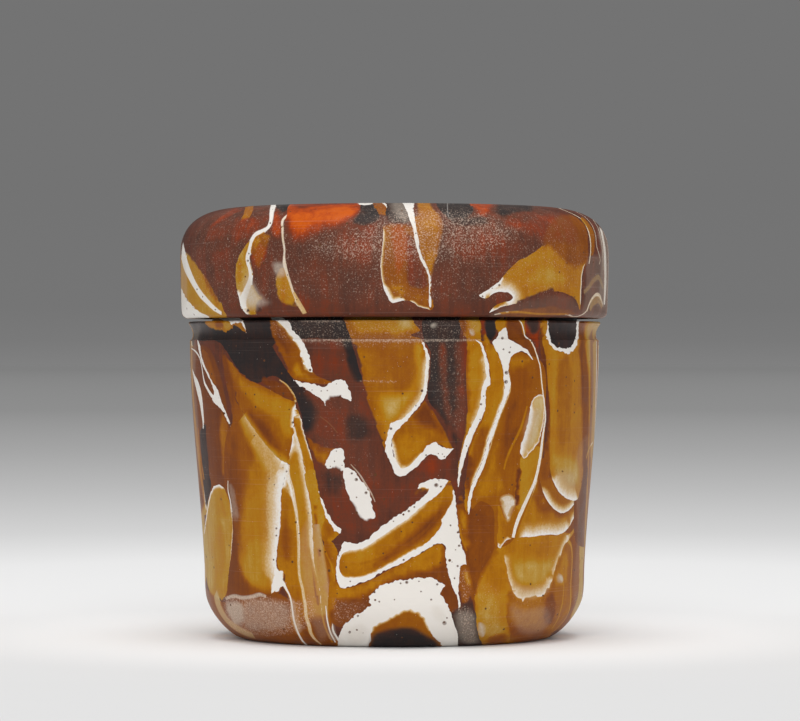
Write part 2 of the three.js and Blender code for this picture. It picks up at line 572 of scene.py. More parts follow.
LEFT_SHOULDER_STREAK = [
    (-13.9, 42.5), (-14, 41.6), (-14.6, 40.7), (-15.4, 39.9), (-15.2, 40.8), (-14.8, 41.5), (-14.5, 42.5),
]
MIDDLE_GLOW = [(-0.9, 40.6), (1.5, 40.6), (1.9, 38.6), (1.6, 36.6), (0.8, 34.6), (-0.2, 34.8), (-0.7, 37)]

LID_FRONT = [
    # Left end
    amber(0.75, [(-20.4, 38), (-19.8, 37.3), (-19.2, 36.4), (-18.4, 35.4), (-17.8, 34.3), (-17.1, 33),
        (-16.8, 32.1), (-16.5, 31.3), (-20.9, 31.2), (-21.3, 33), (-21.3, 36), (-20.9, 37.6)],
        fade=[(1, 5, 0.5), (11, 1, 0.8)]),
    tint(0.35, [(-19.2, 36.4), (-18.4, 35.5), (-17.7, 34.2), (-17.1, 32.9), (-17.3, 32.4), (-18.4, 34.2)],
        0.4),
    Streak([(-20.9, 37.8), (-20.55, 36.6), (-20.15, 35.6), (-19.6, 34.5), (-18.95, 33.5), (-18.3, 32.8),
        (-17.7, 32.2), (-17, 31.7)], (1.4, 1.4, 0.9, 0.6, 0.5, 0.36, 0.3, 0.2), 0.5, 1.0, MILKY),
    milk([(-21.4, 35.6), (-21, 34.6), (-20.5, 33.6), (-19.8, 32.7), (-19, 32), (-18.1, 31.4), (-19, 31.1),
        (-21.4, 31)], fade=[(0, 5, 0.4)], ragged=0.02),
    # Painted reflection: a pale veil along the left end, where the side turns away
    haze_and_reflection(0.25, [(-20.9, 38.6), (-20.5, 37), (-20.3, 34.5), (-20.6, 32), (-21.6, 32), (-21.8, 38.6)], 0.6),
    # Streaks of orange over the left shoulder
    amber(0.5, LEFT_SHOULDER_STREAK, ragged=0.02),
    ember(0.8, LEFT_SHOULDER_STREAK, 0.3, -0.9),
    ground(-0.42, [(-14.7, 41.9), (-15.6, 41.5), (-16.6, 40.8), (-17.7, 40.2), (-18.6, 39.8), (-17.6, 40.9),
        (-16.4, 41.7), (-15.4, 42.2)], fade=[(0, 0, 0.6)]),
    ground(-0.22, [(-14.6, 41.4), (-15.9, 39.6), (-17.2, 38.6), (-18.9, 38.4), (-18.4, 39.8),
        (-16.6, 40.9)], fade=[(0, 0, 0.9)]),
    ground(-0.3, [(-12.6, 40.2), (-13.6, 39.2), (-14.6, 38.4), (-15.9, 38), (-16.4, 39.6), (-15.2, 41),
        (-13.4, 41.4)], fade=[(0, 0, 1.0)]),
    # The curved white line and its amber
    amber(0.8, [(-13.9, 39.1), (-14.6, 38.4), (-15.2, 37.4), (-15.55, 36.4), (-15.6, 35.4), (-15.5, 34.3),
        (-15.3, 33.3), (-15.05, 32.4), (-14.7, 31.8), (-14, 31.6), (-13.3, 31.8), (-13.2, 32.5),
        (-12.6, 33.2), (-13.2, 34), (-13.8, 35), (-14, 36.2), (-14.3, 37.1), (-14.3, 38)],
        white=[(5, 9, 0.1, 1.3)], fade=[(10, 14, 0.9)]),
    tint(0.55, [(-15.4, 37), (-15, 37.2), (-14.9, 35.8), (-15.1, 34.4), (-15.5, 34.6), (-15.6, 36)], 0.3),
    haze_and_reflection(0.9, [(-14.3, 36.2), (-15, 34.6), (-15.1, 33), (-14.4, 31.9), (-13, 32.1), (-12, 32.8),
        (-12.8, 33.6), (-13.6, 34.8)], 1.1),
    ground(0.6, [(-14.8, 32.2), (-13.9, 32.4), (-12.9, 32.3), (-13.1, 31.8), (-13.9, 31.9), (-14.6, 31.7)],
        fade=[(0, 0, 0.25)]),
    amber(0.4, [(-13.9, 39.1), (-13.2, 39.5), (-12.4, 39.9), (-11.8, 39.6), (-12.2, 38.2), (-12.7, 36.8),
        (-13.3, 35.6), (-13.8, 36), (-14.1, 37.2), (-14.1, 38.2)], fade=[(2, 8, 0.9)]),
    ember(0.55, [(-13.9, 38.6), (-13, 39), (-12.4, 38.2), (-12.9, 36.8), (-13.6, 36), (-14, 37)], 0.5,
        -0.7),
    tint(0.75, [(-13.9, 38.9), (-13.2, 39.4), (-12.4, 39.7), (-12.6, 39.2), (-13.3, 38.6), (-13.8, 37.6)],
        0.35),
    Streak([(-11.4, 42.8), (-11.85, 42.3), (-12.05, 41.6), (-12.1, 40.9), (-12.4, 40.2), (-13, 39.8),
        (-13.6, 39.5), (-14.05, 38.8), (-14.25, 38), (-14.45, 37.3), (-14.4, 36.7), (-14.2, 36),
        (-14.15, 35.3), (-14.3, 34.6), (-14.6, 33.8), (-14.85, 33), (-14.8, 32.2)], (0.5, 0.3, 0.16, 0.18,
        0.16, 0.22, 0.24, 0.26, 0.32, 0.32, 0.28, 0.3, 0.4, 0.5, 0.5, 0.3), 0.26, 1.0, MILKY),
    ground(1, [(-11.7, 42.9), (-11.5, 42), (-11, 41.6), (-10.5, 41.9), (-10.2, 42.4), (-10.3, 42.9)],
        fade=[(1, 3, 0.3)]),
    ground(-0.7, [(-11.8, 41.8), (-11, 41.3), (-10.9, 40.4), (-10.95, 39.4), (-11.4, 38.8), (-12.2, 39.5),
        (-12.2, 40.6)], fade=[(0, 0, 0.5)]),
    # The second line
    amber(0.68, [(-11.5, 36), (-10.9, 36.2), (-10.5, 35.1), (-10.1, 34.1), (-9.6, 33), (-9.4, 32.2),
        (-10.6, 32.3), (-11.4, 32.9), (-11.8, 34.2), (-11.8, 35.4)], fade=[(4, 0, 0.5)]),
    ember(0.6, [(-11.4, 34.2), (-10.2, 34), (-9.8, 32.8), (-10.8, 32.5), (-11.5, 33.2)], 0.5, -0.6),
    ground(-0.3, [(-10, 34.6), (-9.2, 34.4), (-8.2, 32.6), (-8.4, 31.6), (-9, 32)], fade=[(0, 0, 0.5)]),
    haze_and_reflection(0.6, [(-12, 36.9), (-10.8, 36.8), (-10.5, 35.6), (-11, 35), (-11.9, 35.6)], 0.5),
    Streak([(-10.2, 41.6), (-10.7, 41.2), (-11, 40.8), (-11, 40), (-10.95, 39), (-10.8, 38), (-10.85, 37)],
        (0.2, 0.24, 0.14, 0.12, 0.1, 0.08), 0.16, 0.7, CREAM),
    Streak([(-10.85, 37.4), (-10.8, 36.6), (-10.6, 35.7), (-10.3, 34.8), (-9.9, 33.6), (-9.4, 32.6),
        (-8.9, 31.8)], (0.05, 0.22, 0.2, 0.14, 0.14, 0.16, 0.16), 0.16, 1.0, CREAM),
    Streak([(-9.9, 33.8), (-9.4, 32.8), (-8.8, 31.7)], (0.05, 0.2, 0.3), 0.2, 0.8, TAN),
    # Orange light through the edge of the top
    ground(-0.72, [(-10.3, 42.4), (-10.6, 41.3), (-10.9, 40.2), (-10.9, 38.9), (-10.1, 38.3), (-9.2, 38.1),
        (-8.2, 38.5), (-7.2, 39.2), (-6, 39.6), (-4.4, 39.9), (-3.7, 40.9), (-3.2, 41.8), (-3.1, 42.6),
        (-6.5, 43)], fade=[(2, 10, 1.5), (10, 12, 0.4)]),
    ground(-1, [(-10.2, 41.4), (-8.4, 41.8), (-6, 42.2), (-4.2, 42.3), (-3.6, 41.7), (-4.6, 40.9),
        (-6.8, 40.6), (-8.4, 39.9), (-9.8, 39.4), (-10.6, 40)], fade=[(0, 0, 0.7)]),
    ground(-0.45, [(-10.4, 43), (-9.8, 42.1), (-7.5, 42.2), (-5.5, 42.4), (-3.6, 42.5), (-3.4, 43)],
        fade=[(0, 0, 0.3)]),
    # The ground varies from red to nearly black
    ground(-0.24, [(-6, 40.4), (-1.2, 40.4), (-1.2, 37), (-2.6, 36), (-6, 37.4)], fade=[(0, 0, 1.4)]),
    ground(0.2, [(-4, 36.8), (-1.6, 37), (-1.4, 35.2), (-2, 33.8), (-4.4, 34.4)], fade=[(0, 0, 1.2)]),
    ground(-0.22, [(5.2, 40.4), (9, 40.6), (12, 40), (13.6, 38.2), (10.8, 36.4), (7.4, 35.8), (5.2, 36.6)],
        fade=[(0, 0, 1.8)]),
    ground(-0.18, [(-18.6, 38.6), (-15.6, 38.6), (-16, 34.8), (-17, 33.4), (-17.8, 35)],
        fade=[(0, 0, 1.2)]),
    ground(0.9, [(-3.2, 42.9), (-3.4, 41.8), (-4.2, 40.7), (-3.2, 40.3), (-2.2, 40.5), (-1.5, 41),
        (-1.6, 41.8), (-2, 42.9)], fade=[(1, 5, 0.35)]),
    milk([(-3.8, 42.9), (-3.6, 42.5), (-2.9, 42.38), (-2.2, 42.5), (-2, 42.9)]),
    amber(0.4, [(-2.1, 42.6), (-1.9, 42), (-1.6, 41.4), (-1.1, 41.1), (-0.75, 41.4), (-0.6, 42),
        (-1, 42.6)], fade=[(1, 4, 0.25)]),
    Streak([(-1.4, 42.7), (-1, 42.5), (-0.7, 42.2), (-0.65, 41.7)], (0.2, 0.2, 0.1), 0.05),
    # Large flake in the middle
    ground(0.75, [(-0.6, 43), (-0.8, 42), (-0.9, 41.2), (-0.4, 40.5), (0.5, 40.3), (1.4, 40.6), (1.5, 41.6),
        (0.8, 43)], fade=[(2, 5, 0.5)]),
    amber(0.34, [(-1, 40.6), (-1.1, 39.8), (-1.15, 38.8), (-1.25, 37.8), (-1.35, 36.8), (-1.35, 35.8),
        (-1.2, 34.9), (-1, 34.1), (-0.7, 33.4), (-0.3, 32.8), (0.3, 32.85), (0.9, 33), (1.3, 33),
        (1.9, 32.75), (2.4, 32.4), (3.1, 32.2), (3.7, 32.1), (3.6, 33.2), (3.6, 34.4), (3.5, 35.4),
        (3.1, 36.2), (2.7, 37), (2.4, 37.9), (2.1, 38.9), (1.9, 39.9), (1.6, 40.6), (0.5, 40.8)],
        white=[(0, 8, -0.03, 0.32), (6, 12, 0.22, 0.4), (12, 16, -0.02, 0.25)], fade=[(25, 0, 0.7)],
        ragged=0.015),
    tint(0.42, MIDDLE_GLOW, 0.7),
    ember(0.5, MIDDLE_GLOW, 0.9, -0.7),
    ember(0.2, [(1.2, 39.8), (2.2, 39.2), (2.8, 37.4), (3.5, 35.8), (3.5, 34), (1.2, 34.2), (1, 36.4)], 0.6,
        -0.16),
    # Painted sheen on the crown, where the lamps' highlight falls
    haze_and_reflection(0.35, [(-0.6, 42.6), (0, 41), (1.4, 40.4), (1.8, 41.8), (1, 42.8)], 0.7),
    tint(0.62, [(-1.1, 39.5), (-0.8, 38), (-0.9, 35.5), (-0.6, 34.2), (0.2, 33.5), (1.3, 33.4), (1, 34.4),
        (-0.2, 34.8), (-0.5, 36.5), (-0.4, 38.8)], 0.4),
    tint(0.5, [(1, 33.3), (2.2, 33), (3.3, 32.6), (3.4, 33.2), (2.4, 33.6), (1.2, 33.9)], 0.3),
    tint(0.12, [(1.3, 39.6), (1.2, 37.5), (1, 35.5), (1.5, 34.3), (2.8, 34.3), (3.4, 35), (2.6, 37),
        (1.9, 39.2)], 0.5),
    amber(0.55, [(1.9, 43), (1.9, 41.5), (2.1, 40.2), (2.3, 39), (2.6, 37.8), (3.1, 36.5), (3.5, 35.4),
        (3.6, 34), (3.5, 32.6), (3.75, 32.3), (3.85, 33.5), (3.95, 34.8), (4.2, 36), (4.6, 37.3),
        (4.9, 38.6), (5.15, 39.8), (5.2, 40.7), (4.8, 41.4), (4.1, 42.2), (3.7, 43)], fade=[(10, 21, 0.9)]),
    tint(0.3, [(4, 41.5), (5.1, 40.6), (5, 39), (4.6, 37.2), (4.1, 35.8), (3.7, 36.2), (3.8, 38),
        (4, 39.8)], 0.6),
    milk([(0.6, 43), (0.9, 42.4), (1.3, 41.6), (1.5, 40.9), (1.85, 39.9), (2, 38.9), (2.25, 37.9),
        (2.55, 37), (3, 36.2), (3.3, 35.4), (3.4, 34.6), (3.38, 33.5), (3.4, 32.5), (3.55, 32.3),
        (3.6, 33.5), (3.62, 34.6), (3.55, 35.5), (3.3, 36.3), (2.85, 37.2), (2.6, 37.9), (2.45, 38.9),
        (2.25, 39.9), (2.1, 40.9), (1.95, 41.8), (1.9, 43)], fade=[(14, 24, 0.12)], ragged=0.02),
    # Black and orange along the top edge, right of the middle
    ground(1, [(4, 43), (4.3, 42.1), (4.9, 41.4), (5.3, 40.9), (6, 40.7), (6.9, 40.9), (7.5, 41.4),
        (7.7, 41.9), (7.4, 43)], fade=[(2, 6, 0.3)]),
    Streak([(5.2, 42.9), (5.2, 42), (5.3, 41.2)], (0.08, 0.06), 0.08, 0.4),
    ground(-0.7, [(7.3, 43), (7.5, 42.2), (8, 41.4), (8.8, 41), (9.4, 41.4), (9.9, 42.2), (10.6, 43)],
        fade=[(1, 6, 0.7)]),
    ground(0.8, [(10.3, 43), (9.9, 42.2), (10.2, 41.4), (11, 41.2), (12.2, 41.6), (13.6, 41.8), (13.4, 43)],
        fade=[(0, 0, 0.45)]),
    ground(0.6, [(5.4, 41.2), (7.2, 41.2), (9, 41.3), (9.4, 40.6), (7.4, 40.3), (5.6, 40.4)],
        fade=[(0, 0, 0.4)]),
    ground(-0.34, [(10.4, 41.2), (12.2, 41.2), (13.6, 41.5), (14.8, 41.8), (16.4, 41.6), (17, 40.5),
        (16.2, 38.6), (14.9, 38.2), (13.6, 38.8), (12.2, 39.4), (10.6, 39.7)], fade=[(0, 0, 1.3)]),
    # Amber flake at the right with its white fork
    amber(0.3, [(13.6, 37.6), (14.2, 39.4), (14.8, 41.2), (16.2, 41.8), (17.5, 41.4), (18.4, 40.8),
        (18.9, 39.7), (19, 38.6), (18.9, 36.6), (18, 35.6), (17, 35.9), (16, 36.4), (14.8, 36.8)],
        fade=[(0, 3, 2.0), (3, 5, 0.5)]),
    ember(0.5, [(13.8, 38.4), (15.2, 41.6), (17.2, 41.4), (18.4, 39.8), (18.4, 37.6), (15.6, 37.8)], 1.4,
        -0.3),
    amber(0.62, [(8.3, 33.5), (9, 33.95), (9.8, 34.5), (10.3, 34.9), (10.8, 35.5), (11.5, 36.3),
        (12.2, 36.9), (13, 37.3), (13.8, 37.8), (14.6, 38.4), (15.3, 38.6), (15.9, 38), (16.6, 37.3),
        (17.3, 36.8), (18, 36.6), (18.9, 37.1), (18.6, 36.3), (18.4, 35.3), (18.35, 34.3), (18.3, 33.2),
        (18.2, 32.1), (18, 32.7), (17.6, 33.3), (17, 33.6), (16.3, 33.85), (15.5, 33.9), (14.7, 33.7),
        (13.9, 33.4), (13, 33), (12.2, 32.75), (11.3, 32.55), (10.5, 32.35), (9.9, 32.05), (9.3, 31.8),
        (9.9, 32.5), (10.6, 32.8), (11.4, 33), (11.65, 33.3), (11.3, 33.7), (10.6, 33.85), (9.8, 33.75),
        (9, 33.2)], white=[(15, 20, 0.0, 0.35), (0, 4, 0.2, 0.6), (30, 34, 0.0, 0.3), (35, 41, 0.15, 1.3),
        (41, 1, 0.3, 0.4)], fade=[(9, 15, 0.5), (25, 29, 0.5)], ragged=0.015),
    tint(0.76, [(12.8, 35.2), (13.6, 36.4), (14.8, 36.7), (16.2, 36.2), (17.3, 35.3), (16.8, 34.4),
        (15.2, 34.2), (13.7, 34.1), (12.7, 34.4)], 0.9),
    tint(0.68, [(10.4, 35), (12, 37), (13.8, 38), (15.2, 38.6), (16, 37.6), (14.6, 36.8), (12.8, 35.8),
        (11.4, 34.6)], 0.6),
    ground(-0.1, [(9.6, 33.3), (10.3, 33.75), (11.1, 33.75), (11.65, 33.35), (11.3, 33), (10.6, 32.8),
        (10, 32.6)], fade=[(2, 4, 0.4)]),
    haze_and_reflection(0.4, [(10.8, 34.4), (12.2, 34), (12.2, 33), (11.4, 32.8), (11.6, 33.4), (11.2, 33.8)], 0.5),
    # Below it
    amber(0.2, [(10, 31.9), (12, 32.25), (14, 32.5), (16, 32.6), (17.4, 32.2), (18, 31.7), (17, 31.6),
        (14, 31.4), (11, 31.5)], fade=[(0, 5, 0.5)]),
    haze_and_reflection(0.08, [(9, 31.2), (10, 32.3), (14, 33.4), (17.6, 33.4), (18.6, 31.2)], 0.5),
    haze_and_reflection(0.16, [(19, 37.4), (21, 37.4), (21, 31.2), (18.4, 31.2), (18.7, 34)], 0.5),
    Streak([(9.8, 31.6), (10.6, 31.75), (12.2, 31.85), (14, 31.68), (16, 31.66), (17, 31.62), (17.5, 31.42),
        (18.2, 31.5), (18.8, 31.9), (19.1, 32.6), (19.4, 33.2), (19.9, 33.7), (20.2, 33.5), (20.35, 32.9)],
        (0.1, 0.14, 0.14, 0.14, 0.12, 0.12, 0.14, 0.12, 0.1), 0.07, 0.6, CREAM),
    # Lines round the right end
    amber(0.45, [(18.4, 41.2), (19.2, 40.4), (19.65, 39.4), (19.75, 38.4), (19.6, 37.4), (19.3, 37.2),
        (19.3, 38.4), (19.2, 39.4), (18.9, 40.2), (18.3, 41)], fade=[(2, 6, 0.2)]),
    Streak([(15.6, 42.3), (16.8, 41.8), (17.7, 41.4), (18.45, 40.9), (18.9, 40.2), (19.15, 39.4),
        (19.27, 38.3), (19.2, 37.2), (19.1, 36.6)], (0.1, 0.16, 0.18, 0.16, 0.12, 0.06), 0.1, 0.8, CREAM),
    Streak([(17.9, 41.7), (18.7, 41.2), (19.4, 40.4), (19.75, 39.4), (19.85, 38.4), (20.2, 37),
        (20.1, 36.5)], (0.08, 0.12, 0.1, 0.08), 0.08, 0.6, CREAM),
    Streak([(19.4, 41.1), (20, 40.1), (20.3, 38.9), (20.45, 37.6), (20.5, 36)], (0.1, 0.14, 0.1), 0.1, 0.6,
        CREAM),
    Streak([(18.6, 33.8), (19.1, 34.3), (19.5, 34.9), (20, 35.3), (20.3, 34.8), (20.5, 34.2)],
        (0.25, 0.4, 0.4, 0.3), 0.3, 0.45, {"cover": 1, "rim": 1, "tone": 0.8, "haze_and_reflection": 0.3}),
    Streak([(19.2, 32.1), (19.5, 32.8), (20, 33.1), (20.4, 32.4)], (0.4, 0.7, 0.4), 0.3, 0.5,
        {"cover": 1, "rim": 1, "tone": 0.75, "haze_and_reflection": 0.3}),
    Streak([(18.9, 31.9), (19.3, 33), (19.8, 33.55), (20.25, 33.2), (20.5, 32.4)], (0.05, 0.12, 0.1), 0.12,
        0.6, CREAM),
    # Painted reflection: the pale streak and the veil after it run along the right end, where the side
    # turns away
    Streak([(20.3, 40), (20.62, 38.2), (20.72, 36.2), (20.7, 34.2), (20.6, 32.6)],
        (0.3, 0.9, 1.0, 1.0, 0.4), 0.4, 0.7, PALE),
    haze_and_reflection(0.35, [(19.9, 40.4), (20.2, 38), (20.1, 35), (20, 32.2), (21.6, 32), (22.2, 36), (21.6, 40.6)],
        0.8),
    # Frosted wear over the front of the shoulder, thinner further down, and a painted sheen where the
    # lamps' highlight falls on the crown
    frost_and_sheen(0.62, [(-19.6, 40.5), (-12, 42.6), (0, 43.6), (12, 42.8), (18, 40.5), (18.6, 33.4), (10, 31.8),
        (0, 31.4), (-10, 31.8), (-19, 32)], 2.0),
    frost_and_sheen(1.0, [(-8.6, 39.6), (-4.4, 40.6), (0, 42.2), (5, 42.2), (9.5, 41.8), (13.5, 39.8), (9.5, 36.6),
        (2, 35.6), (-5, 36), (-9, 37.4)], 2.2),
    frost_and_sheen(0.15, [(-10.7, 42.8), (-3.2, 42.8), (-3.4, 41.6), (-5.6, 40.9), (-8, 40.1), (-9.6, 39.5),
        (-10.7, 39.5)], 0.7),
]

